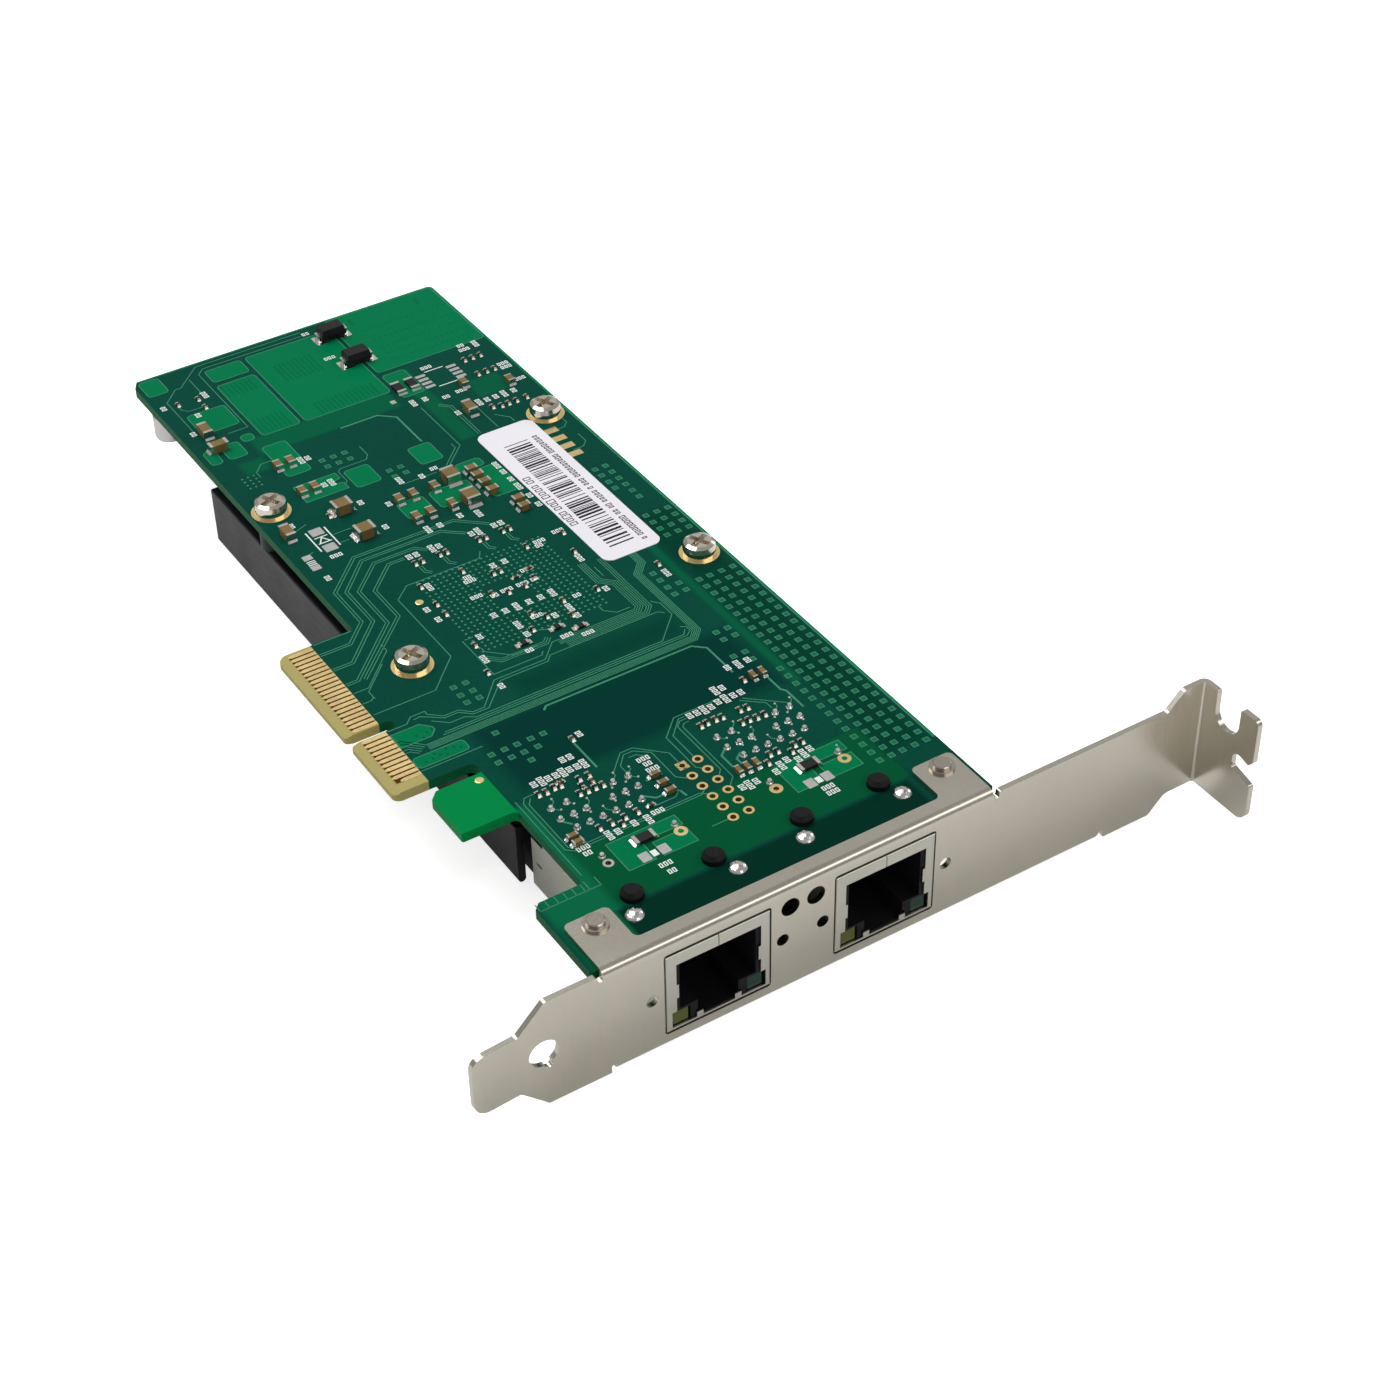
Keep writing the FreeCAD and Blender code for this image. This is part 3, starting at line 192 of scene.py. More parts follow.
def make_world(level):
    world = bpy.data.worlds.new("studio")
    bpy.context.scene.world = world
    world.use_nodes = True
    tree = world.node_tree
    rays = add_node(tree, "LightPath").outputs
    pick = add_node(tree, "MapRange", {"Value": rays["Is Camera Ray"], "To Min": level, "To Max": 1.0})
    set_sockets(tree, tree.nodes["Background"], {"Color": (1, 1, 1, 1), "Strength": pick.outputs["Result"]})


def add_lamp(name, offset, width, height, power):
    lamp = bpy.data.lights.new(name, "AREA")
    lamp.shape = "RECTANGLE"
    lamp.size = width
    lamp.size_y = height
    lamp.energy = power
    holder = bpy.data.objects.new(name, lamp)
    holder.location = middle + Vector(offset)
    holder.rotation_mode = "QUATERNION"
    holder.rotation_quaternion = (-Vector(offset)).to_track_quat("-Z", "Y")
    bpy.context.scene.collection.objects.link(holder)


make_world(world_level)
add_lamp("key", offset=(-0.2, 0.35, 0.75), width=0.6, height=0.6, power=4.2)
add_lamp("back", offset=(0.37, 0.59, 0.57), width=0.9, height=0.6, power=0.3)
add_lamp("strip", offset=(0.33, -0.51, 0.52), width=0.9, height=0.24, power=1.3)
add_lamp("side", offset=(0.8, 0.1, 0.3), width=0.4, height=0.3, power=0.6)
bpy.context.scene.view_settings.view_transform = "Standard"
print("lamps:", len(bpy.data.lights))

# %% [markdown]
# ## Finishes
#
# No real surface has one flat colour. A small node group, Wear, makes the slow cloudiness and the fine
# grain that lacquer, plating and moulded plastic have, and is placed in each material with its own values.
# It reads Object coordinates, so a pattern stays with the piece.

# %% Wear group
cloud_share = 0.55
grain_share = 0.45


def new_group(name, inputs, outputs):
    group = bpy.data.node_groups.new(name, "ShaderNodeTree")
    for socket, kind, value in inputs:
        item = group.interface.new_socket(socket, in_out="INPUT", socket_type="NodeSocket" + kind)
        item.default_value = value
    for socket, kind in outputs:
        group.interface.new_socket(socket, in_out="OUTPUT", socket_type="NodeSocket" + kind)
    start = group.nodes.new("NodeGroupInput")
    end = group.nodes.new("NodeGroupOutput")
    return group, start.outputs, end


def make_wear_group():
    inputs = [
        ("Light", "Color", (0.5, 0.5, 0.5, 1)),
        ("Dark", "Color", (0.3, 0.3, 0.3, 1)),
        ("Cloud Size", "Float", 200.0),
        ("Grain Size", "Float", 4000.0),
        ("Stretch", "Vector", (1.0, 1.0, 1.0)),
        ("Smooth", "Float", 0.3),
        ("Rough", "Float", 0.5),
    ]
    outputs = [("Color", "Color"), ("Roughness", "Float"), ("Height", "Float")]
    group, given, end = new_group("Wear", inputs, outputs)
    place = add_node(group, "TexCoord").outputs["Object"]
    stretched = add_node(group, "VectorMath", {0: place, 1: given["Stretch"]}, operation="MULTIPLY")
    cloud = add_node(group, "TexNoise", {"Detail": 3, "Vector": place, "Scale": given["Cloud Size"]})
    along = stretched.outputs[0]
    grain = add_node(group, "TexNoise", {"Detail": 2, "Vector": along, "Scale": given["Grain Size"]})
    share = add_node(group, "Math", {0: cloud.outputs["Fac"], 1: cloud_share}, operation="MULTIPLY")
    blend = add_node(group, "Math", {0: grain.outputs["Fac"], 1: grain_share, 2: share.outputs[0]},
                     operation="MULTIPLY_ADD")
    spread = add_node(group, "MapRange", {"From Min": 0.36, "From Max": 0.64, "Value": blend.outputs[0]})
    mask = spread.outputs["Result"]
    color = mix_colors(group, mask, given["Dark"], given["Light"])
    rough = add_node(group, "MapRange", {"Value": mask, "To Min": given["Smooth"], "To Max": given["Rough"]})
    set_sockets(group, end, {
        "Color": color,
        "Roughness": rough.outputs["Result"],
        "Height": grain.outputs["Fac"],
    })
    return group


wear_group = make_wear_group()
print("group:", wear_group.name)

# %% Material maker
finishes = {}


def shade(color, factor):
    return tuple(min(1.0, part * factor) for part in color) + (1,)


def add_finish(name, color, spread=0.12, cloud=200.0, grain=4000.0, stretch=(1, 1, 1), smooth=0.3, rough=0.5,
               metal=0.0, bump=0.15, depth=0.02, gloss=0.5):
    material, tree, shader = new_material(name)
    wear = add_node(tree, "Group", {
        "Light": shade(color, 1 + spread),
        "Dark": shade(color, 1 - spread),
        "Cloud Size": cloud,
        "Grain Size": grain,
        "Stretch": stretch,
        "Smooth": smooth,
        "Rough": rough,
    }, node_tree=wear_group)
    grain_height = wear.outputs["Height"]
    relief = add_node(tree, "Bump", {"Strength": bump, "Distance": depth * mm, "Height": grain_height})
    set_sockets(tree, shader, {
        "Metallic": metal,
        "Specular IOR Level": gloss,
        "Base Color": wear.outputs["Color"],
        "Roughness": wear.outputs["Roughness"],
        "Normal": relief.outputs["Normal"],
    })
    finishes[name] = material


# %% Lacquers
lacquer_dark = (0.002, 0.066, 0.043)
lacquer_darker = (0.0003, 0.04, 0.03)
lacquer_between = (0.0006, 0.05, 0.034)
lacquer_beside = (0.0003, 0.048, 0.027)
lacquer_low = (0.0005, 0.092, 0.032)
lacquer_middle = (0.001, 0.11, 0.05)
lacquer_ear = (0.002, 0.14, 0.06)
lacquer_tab = (0.0003, 0.25, 0.06)
# band under the bracket's lip: darker partly because no copper lies under it, partly as painted shade of the
# lip
lacquer_no_copper_and_shade = (0.0003, 0.03, 0.018)
lacquer_rim = (0.008, 0.2, 0.085)
lacquer_bright = (0.0003, 0.185, 0.068)
lacquer_hatched = (0.0003, 0.15, 0.056)
lacquer_on_squares = (0.015, 0.15, 0.08)
# Lacquer over tracks; the same colour on the rims of fields and squares is a painted highlight of their
# edges.
lacquer_on_tracks_and_rim_highlight = (0.06, 0.27, 0.16)
lacquer_bump = 0.03
lacquer_gloss = 0.02


def add_lacquer(name, color, spread=0.05, cloud=90, rough=0.36):
    add_finish(name, color, spread, cloud, 1500, smooth=0.28, rough=rough, bump=lacquer_bump,
               gloss=lacquer_gloss)


add_lacquer("lacquer_bright", lacquer_bright)
add_lacquer("lacquer_field_shade", lacquer_hatched)
add_lacquer("trace_lacquer", lacquer_on_tracks_and_rim_highlight, 0.08, 150, 0.38)
add_lacquer("square_lacquer", lacquer_on_squares, 0.12, 400, 0.38)
print("lacquers:", len(finishes))

# %% Metals
add_finish("solder", (0.8, 0.79, 0.77), 0.06, 900, 2500, smooth=0.1, rough=0.26, metal=1, bump=0.6,
           depth=0.06)
add_finish("gold", (1.0, 0.74, 0.34), 0.05, 300, 3000, smooth=0.25, rough=0.36, metal=1, bump=0.06)
add_finish("bracket", (0.6, 0.56, 0.48), 0.03, 60, 2500, (1, 1, 0.08), 0.2, 0.27, metal=1, bump=0.02)
add_finish("shield", (0.57, 0.56, 0.49), 0.05, 100, 2500, (0.08, 1, 1), 0.28, 0.4, metal=1, bump=0.08)
add_finish("rivet", (0.48, 0.44, 0.38), 0.05, 200, 2000, smooth=0.2, rough=0.3, metal=1, bump=0.05)
add_finish("screw", (0.74, 0.68, 0.58), 0.08, 250, 1200, smooth=0.08, rough=0.18, metal=1, bump=0.25,
           depth=0.08)
add_finish("tin", (0.74, 0.72, 0.66), 0.08, 500, 2500, smooth=0.16, rough=0.28, metal=1, bump=0.25)
add_finish("sink", (0.019, 0.019, 0.0215), 0.12, 80, 3000, (1, 0.1, 1), 0.38, 0.5, metal=0.6, bump=0.15)
add_finish("can", (0.6, 0.59, 0.58), 0.04, 200, 2500, (1, 1, 0.1), 0.28, 0.4, metal=1, bump=0.06)
print("finishes:", len(finishes))

# %% Plastics, ceramics and print
add_finish("housing", (0.008, 0.008, 0.009), 0.2, 150, 5000, smooth=0.45, rough=0.6, gloss=0.15)
add_finish("chip", (0.012, 0.012, 0.013), 0.25, 200, 6000, smooth=0.45, rough=0.65, bump=0.3, gloss=0.25)
add_finish("resin", (0.03, 0.03, 0.032), 0.2, 200, 5000, smooth=0.5, rough=0.7, gloss=0.2)
add_finish("silicone", (0.4, 0.42, 0.46), 0.1, 200, 4000, smooth=0.7, rough=0.85)
add_finish("film", (0.9, 0.87, 0.93), 0.02, 60, 3000, smooth=0.4, rough=0.5, bump=0.03, gloss=0.3)
add_finish("ceramic", (0.22, 0.14, 0.048), 0.12, 500, 3000, smooth=0.4, rough=0.55, bump=0.1, gloss=0.25)
add_finish("ceramic_dark", (0.08, 0.05, 0.02), 0.15, 500, 3000, smooth=0.4, rough=0.55, bump=0.1, gloss=0.25)
add_finish("coil", (0.1, 0.1, 0.105), 0.2, 400, 5000, smooth=0.55, rough=0.75, bump=0.4)
add_finish("lamp_yellow", (0.1, 0.11, 0.012), 0.1, 200, 3000, smooth=0.12, rough=0.22, bump=0.05, gloss=0.3)
add_finish("lamp_green", (0.003, 0.04, 0.024), 0.1, 200, 3000, smooth=0.12, rough=0.22, bump=0.05, gloss=0.3)
add_finish("ink", (0.88, 0.9, 0.88), 0.05, 400, 3000, smooth=0.5, rough=0.65, bump=0.03, gloss=0.2)
add_finish("print_black", (0.008, 0.008, 0.01), 0.1, 400, 3000, smooth=0.5, rough=0.65, bump=0.03, gloss=0.2)
print("finishes:", len(finishes))

# %% [markdown]
# ## The board's lacquer
#
# Green lacquer looks dark over bare laminate and brighter over copper. Most of the board is the dark tone,
# the band under the bracket's lip is darker still, partly because no copper lies under it and partly as
# painted shade of the lip, and the guide tab is the brightest. The connector's tip is bare laminate with a
# yellowish edge. These zones are boxes in Object coordinates, so they are masks in the material. The floor
# gets one too: a soft dark patch of painted shadow, where the floor lies in shade under the card and the
# camera looks through the bracket's holes, which are dark in the photograph.

# %% Zone group
def make_zone_group():
    inputs = [
        ("Low", "Vector", (0.0, 0.0, 0.0)),
        ("High", "Vector", (0.01, 0.01, 0.0)),
        ("Soft", "Float", 0.0001),
    ]
    group, given, end = new_group("Zone", inputs, [("Mask", "Float")])
    place = add_node(group, "TexCoord").outputs["Object"]
    above = add_node(group, "VectorMath", {0: place, 1: given["Low"]}, operation="SUBTRACT")
    below = add_node(group, "VectorMath", {0: given["High"], 1: place}, operation="SUBTRACT")
    nearest = add_node(group, "VectorMath", {0: above.outputs[0], 1: below.outputs[0]}, operation="MINIMUM")
    split = add_node(group, "SeparateXYZ", {0: nearest.outputs[0]})
    inside = add_node(group, "Math", {0: split.outputs["X"], 1: split.outputs["Y"]}, operation="MINIMUM")
    edge = add_node(group, "MapRange", {"Value": inside.outputs[0], "From Max": given["Soft"]})
    set_sockets(group, end, {"Mask": edge.outputs["Result"]})
    return group


zone_group = make_zone_group()


def add_zone(tree, color, low, high, soft, tone):
    zone = add_node(tree, "Group", {
        "Low": (low[0] * mm, low[1] * mm, 0),
        "High": (high[0] * mm, high[1] * mm, 0),
        "Soft": soft * mm,
    }, node_tree=zone_group)
    return mix_colors(tree, zone.outputs["Mask"], color, tone + (1,))


# %% Painted shadow on the floor behind the holes
dark_low = (30, -56)
dark_high = (62, -20)
dark_soft = 4
# Painted shadow: where the floor lies in shade under the card, its paper is dark and has no glow of its own.
painted_shadow_paper = (0.01, 0.01, 0.01)
no_glow = (0, 0, 0)


def paint_floor_shadow(tree):
    shader = tree.nodes["Principled BSDF"]
    glow = shader.inputs["Emission Strength"].links[0].from_socket
    set_sockets(tree, shader, {
        "Base Color": add_zone(tree, paper_white, dark_low, dark_high, dark_soft, painted_shadow_paper),
        "Emission Strength": add_zone(tree, glow, dark_low, dark_high, dark_soft, no_glow),
    })


paint_floor_shadow(floor.data.materials[0].node_tree)
print("floor darkened behind the bracket's holes")

# %% Board material
copper_zones = [
    ((14.0, -24.0), (59.0, -6.3), 2.5, lacquer_darker),
    ((24.4, -6.3), (53.4, 0.6), 3.0, lacquer_between),
    ((12.4, -49.4), (61.0, -36.8), 0.3, lacquer_low),
    ((4.7, -58.0), (14.6, -24.5), 1.2, lacquer_ear),
    # band under the bracket's lip: partly no copper, partly painted shade of the lip
    ((12.9, -58.0), (60.4, -49.4), 0.8, lacquer_no_copper_and_shade),
    ((60.0, -45.0), (68.6, 24.0), 2.0, lacquer_beside),
    ((58.7, -24.0), (60.8, 16.0), 0.8, lacquer_middle),
    ((21.0, 70.8), (47.0, 76.5), 0.8, lacquer_middle),
    ((49.5, 56.5), (53.0, 81.0), 0.8, lacquer_middle),
    ((16.5, 66.5), (21.5, 71.0), 1.0, lacquer_middle),
    ((58.5, 66.0), (64.8, 71.8), 0.5, lacquer_middle),
    ((68.35, -44.5), (70.0, 103.0), 0.2, lacquer_rim),
    ((12.0, 101.7), (70.0, 103.0), 0.2, lacquer_rim),
]
bare_laminate = (0.46, 0.4, 0.15)
finger_gap = (0.08, 0.035, 0.006)
tip_zones = [
    ((-1.0, -14.0), (5.45, 23.0), 0.1, bare_laminate),
    ((1.3, -11.9), (5.45, -1.1), 0.3, finger_gap),
    ((1.3, 1.1), (5.45, 21.9), 0.3, finger_gap),
    ((3.0, -26.2), (12.4, -15.9), 0.1, lacquer_tab),
]
cut_edge = (0.006, 0.11, 0.04, 1)


def make_board_material():
    add_finish("board", lacquer_dark, 0.07, 60, 1200, smooth=0.26, rough=0.38, bump=lacquer_bump, depth=0.01,
               gloss=lacquer_gloss)
    tree = finishes["board"].node_tree
    shader = tree.nodes["Principled BSDF"]
    color = shader.inputs["Base Color"].links[0].from_socket
    for low, high, soft, tone in copper_zones:
        color = add_zone(tree, color, low, high, soft, tone)
    geometry = add_node(tree, "NewGeometry")
    split = add_node(tree, "SeparateXYZ", {0: geometry.outputs["Normal"]})
    upright = add_node(tree, "Math", {0: split.outputs["Z"]}, operation="ABSOLUTE")
    side = add_node(tree, "MapRange", {"From Min": 0.5, "From Max": 0.2, "Value": upright.outputs[0]})
    color = mix_colors(tree, side.outputs["Result"], color, cut_edge)
    for low, high, soft, tone in tip_zones:
        color = add_zone(tree, color, low, high, soft, tone)
    set_sockets(tree, shader, {"Base Color": color})


make_board_material()
print("board zones:", len(copper_zones) + len(tip_zones))

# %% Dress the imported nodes
finished_nodes = {
    "board": ["circuit_board"],
    "gold": ["edge_contacts_solder_side", "edge_contacts_component_side", "jack_contacts"],
    "bracket": ["bracket"],
    "rivet": ["bracket_rivets", "crystal"],
    "shield": ["jack_shield"],
    "housing": ["jack_housing", "can_capacitor_base"],
    "lamp_yellow": ["jack_lamp_yellow"],
    "lamp_green": ["jack_lamp_green"],
    "resin": ["jack_magnetics"],
    "tin": ["jack_pins", "large_capacitor_ends", "small_capacitor_ends", "resistor_ends", "diode_leads"],
    "sink": ["heat_sink", "heat_sink_standoffs"],
    "screw": ["heat_sink_screws"],
    "chip": [
        "controller_chip", "resistor_bodies", "diode_bodies", "memory_chip", "regulator_chips",
        "power_transistors",
    ],
    "silicone": ["thermal_pad"],
    "film": ["label"],
    "ceramic": ["large_capacitor_bodies", "small_capacitor_bodies"],
    "can": ["can_capacitor"],
    "coil": ["regulator_coils", "power_coil"],
}


def dress(name, material):
    mesh = nodes[name].data
    if not mesh.materials:
        mesh.materials.append(material)
    for index in range(len(mesh.materials)):
        mesh.materials[index] = material


finish_of = {name: finish for finish, names in finished_nodes.items() for name in names}
for name in nodes:
    plain = name.replace("_left", "").replace("_right", "")
    dress(name, finishes[finish_of[plain]])
print("dressed:", len(nodes))

# %% [markdown]
# ## Printed copper
#
# On the real board the copper is etched first and the lacquer is laid over it, so each track and field
# stands up as a low step. A texture could paint them, but real steps catch the light at their edges, so
# each one is a thin plate. A field is a block with its upright edges bevelled, inside a lower rim in the
# lighter lacquer of the tracks, which is a painted highlight of the step's edge. A track is two lines of
# points, one beside the other, bridged and raised. Everything is modelled in millimetres and brought to
# metres when its piece is made.

# %% Heights on the board
board_low, board_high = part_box("circuit_board")
board_top = board_high.z / mm
board_bottom = board_low.z / mm
copper_height = 0.02
via_height = 0.016
square_height = 0.018
rim_height = 0.012
pad_height = 0.03
ink_height = 0.028
height_step = 0.0008
merge_distance = 0.0004


def add_piece(name, bm, material):
    bmesh.ops.remove_doubles(bm, verts=bm.verts, dist=merge_distance)
    bmesh.ops.recalc_face_normals(bm, faces=bm.faces)
    bmesh.ops.scale(bm, vec=(mm, mm, mm), verts=bm.verts)
    piece = new_object(name, bm, finishes[material])
    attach(piece, "root")
    print(name, len(piece.data.polygons), "faces")


# %% Blocks and discs
def add_block(bm, x0, x1, y0, y1, height, corner=0.0, low=board_top):
    size = Vector((x1 - x0, y1 - y0, height))
    centre = Vector(((x0 + x1) / 2, (y0 + y1) / 2, low + height / 2))
    place = Matrix.Translation(centre) @ Matrix.Diagonal((*size, 1))
    made = bmesh.ops.create_cube(bm, size=1, matrix=place)
    if corner > 0:
        upright = []
        for vertex in made["verts"]:
            for edge in vertex.link_edges:
                if edge.other_vert(vertex).co.z - vertex.co.z > height / 2:
                    upright.append(edge)
        bmesh.ops.bevel(bm, geom=upright, offset=corner, affect="EDGES", segments=3, profile=0.5,
                        material=-1)
    return made["verts"]


def add_pad(bm, x, y, wide, long, height=pad_height, corner=0.0, low=board_top):
    return add_block(bm, x - wide / 2, x + wide / 2, y - long / 2, y + long / 2, height, corner, low)


disc_taper = 0.85


def add_disc(bm, x, y, radius, height=pad_height, sides=8, low=board_top):
    place = Matrix.Translation((x, y, low + height / 2))
    bmesh.ops.create_cone(bm, segments=sides, radius1=radius, radius2=radius * disc_taper, depth=height,
                          cap_ends=True, matrix=place)


# %% Fields with any outline
def raise_faces(bm, faces, height):
    made = bmesh.ops.extrude_face_region(bm, geom=faces)
    top = [part for part in made["geom"] if isinstance(part, bmesh.types.BMVert)]
    bmesh.ops.translate(bm, verts=top, vec=(0, 0, height))


def add_outline(bm, corners, height, low=board_top):
    face = bm.faces.new([bm.verts.new((x, y, low)) for x, y in corners])
    raise_faces(bm, [face], height)


# %% Tracks
def beside(points, shift):
    line = [Vector(spot) for spot in points]
    moved = []
    for i, here in enumerate(line):
        ways = []
        if i > 0:
            ways.append((here - line[i - 1]).normalized())
        if i < len(line) - 1:
            ways.append((line[i + 1] - here).normalized())
        way = sum(ways, Vector((0, 0))) / len(ways)
        moved.append(here + Vector((-way.y, way.x)) * (shift / way.length_squared))
    return moved


def add_track(bm, points, width, height=copper_height, low=board_top):
    edges = []
    for side in (-0.5, 0.5):
        spots = [bm.verts.new((x, y, low)) for x, y in beside(points, side * width)]
        edges.extend(bm.edges.new(pair) for pair in zip(spots, spots[1:]))
    made = bmesh.ops.bridge_loops(bm, edges=edges)
    raise_faces(bm, made["faces"], height)


# %% Copper fields
field_corner = 0.7
rim_width = 0.14
fields = [
    (24.0, 30.7, 94.7, 98.9), (23.8, 30.8, 75.9, 93.6), (31.5, 47.3, 75.9, 99.0), (48.0, 68.5, 82.1, 101.9),
    (48.0, 52.2, 73.0, 81.0), (13.2, 16.9, 96.5, 101.5), (15.8, 22.6, 81.5, 88.0), (13.4, 15.5, 72.5, 76.8),
    (16.5, 19.8, 72.5, 77.0), (20.5, 22.7, 75.9, 78.0), (22.0, 26.3, 63.0, 73.0), (29.8, 34.2, 54.2, 59.6),
    (41.2, 45.3, 54.2, 59.6), (45.3, 49.8, 48.9, 51.3), (32.5, 37.2, 42.0, 47.0), (38.2, 45.2, 42.0, 47.0),
    (46.5, 51.5, 40.0, 48.4), (5.5, 13.7, -10.8, -8.3),
]
outlines = [
    [(5.5, -5.5), (10.4, -5.5), (11.5, -4.4), (11.5, -3.6), (10.1, -2.1), (5.5, -2.1)],
    [(21.3, 55.1), (28.8, 55.1), (28.8, 57.0), (27.5, 57.4), (27.5, 57.9), (28.8, 58.3), (28.8, 60.1),
     (21.3, 60.1)],
]
jack_field_lefts = [(18.7, -38.1), (46.1, -37.6)]
jack_field_width = 11.0
jack_field_length = 6.2
jack_field_top = 2.3
jack_field_slot = 0.75
jack_field_arm = 4.4
jack_field_gap = 1.1


def jack_field_outlines(left, top):
    right = left + jack_field_width
    low = top - jack_field_length
    step = top - jack_field_top
    arm = left + jack_field_arm
    angle = [(left, low), (arm, low), (arm, step), (right, step), (right, top), (left, top)]
    start = arm + jack_field_gap
    ledge = step - jack_field_slot
    block = [(start, low), (right, low), (right, ledge), (start, ledge)]
    return [angle, block]


for left, top in jack_field_lefts:
    outlines.extend(jack_field_outlines(left, top))

# Each field sits inside a lower rim in the track lacquer: a painted highlight along the field's edge.
field_mesh = bmesh.new()
rim_highlight_mesh = bmesh.new()
for x0, x1, y0, y1 in fields:
    add_block(rim_highlight_mesh, x0, x1, y0, y1, rim_height, field_corner)
    add_block(field_mesh, x0 + rim_width, x1 - rim_width, y0 + rim_width, y1 - rim_width, copper_height,
              field_corner - rim_width)
for corners in outlines:
    add_outline(rim_highlight_mesh, corners, rim_height)
    closed = corners + corners[:2]
    inner = beside([corners[-1]] + closed, rim_width)[1:-2]
    add_outline(field_mesh, inner, copper_height)
add_piece("copper_fields", field_mesh, "lacquer_bright")

# %% Copper that shows through the fields
shade_height = copper_height + 0.004
hatch_pitch = 0.8
hatch_width = 0.36
far_dots = 16
far_dot_rows = (84.6, 86.8, 89.2, 92.0, 95.4)
far_dot_radius = 0.28
pit_radius = 0.2
shade_mesh = bmesh.new()
hatched = [
    (34.4, 42.0, 88.2, 94.0), (34.8, 46.2, 76.4, 80.2), (24.3, 30.3, 89.2, 93.2), (24.3, 30.3, 76.4, 81.0),
]
for x0, x1, y0, y1 in hatched:
    for i in range(int((x1 - x0) / hatch_pitch)):
        low_x = x0 + i * hatch_pitch
        add_block(shade_mesh, low_x, low_x + hatch_width, y0, y1, shade_height)
for y in far_dot_rows:
    for i in range(far_dots):
        add_disc(shade_mesh, 52.6 + i, y, far_dot_radius, shade_height)
for x, y in ((51.7, 99.1), (64.3, 98.9)):
    add_pad(shade_mesh, x, y, 0.6, 2.0, shade_height)
connector_spots = [
    (8.6, -4.2), (10.2, -4.3), (11.1, -4.1), (9.3, -5.1), (7.0, -9.9), (8.2, -9.8), (9.4, -9.6),
    (10.3, -10.1), (8.8, -9.0), (10.7, -8.9), (11.8, -9.2), (12.6, -9.8),
]
pit_mesh = bmesh.new()
for x, y in connector_spots:
    add_disc(pit_mesh, x, y, pit_radius, shade_height)
add_piece("copper_shades", shade_mesh, "lacquer_field_shade")
add_piece("field_pits", pit_mesh, "board")
add_piece("copper_rims", rim_highlight_mesh, "trace_lacquer")

# %% [markdown]
# ## Tracks
#
# Each track runs from pad to pad in straight stretches with half-right turns. Tracks that keep each other
# company are one line of points, repeated beside itself, because that is how they were routed.

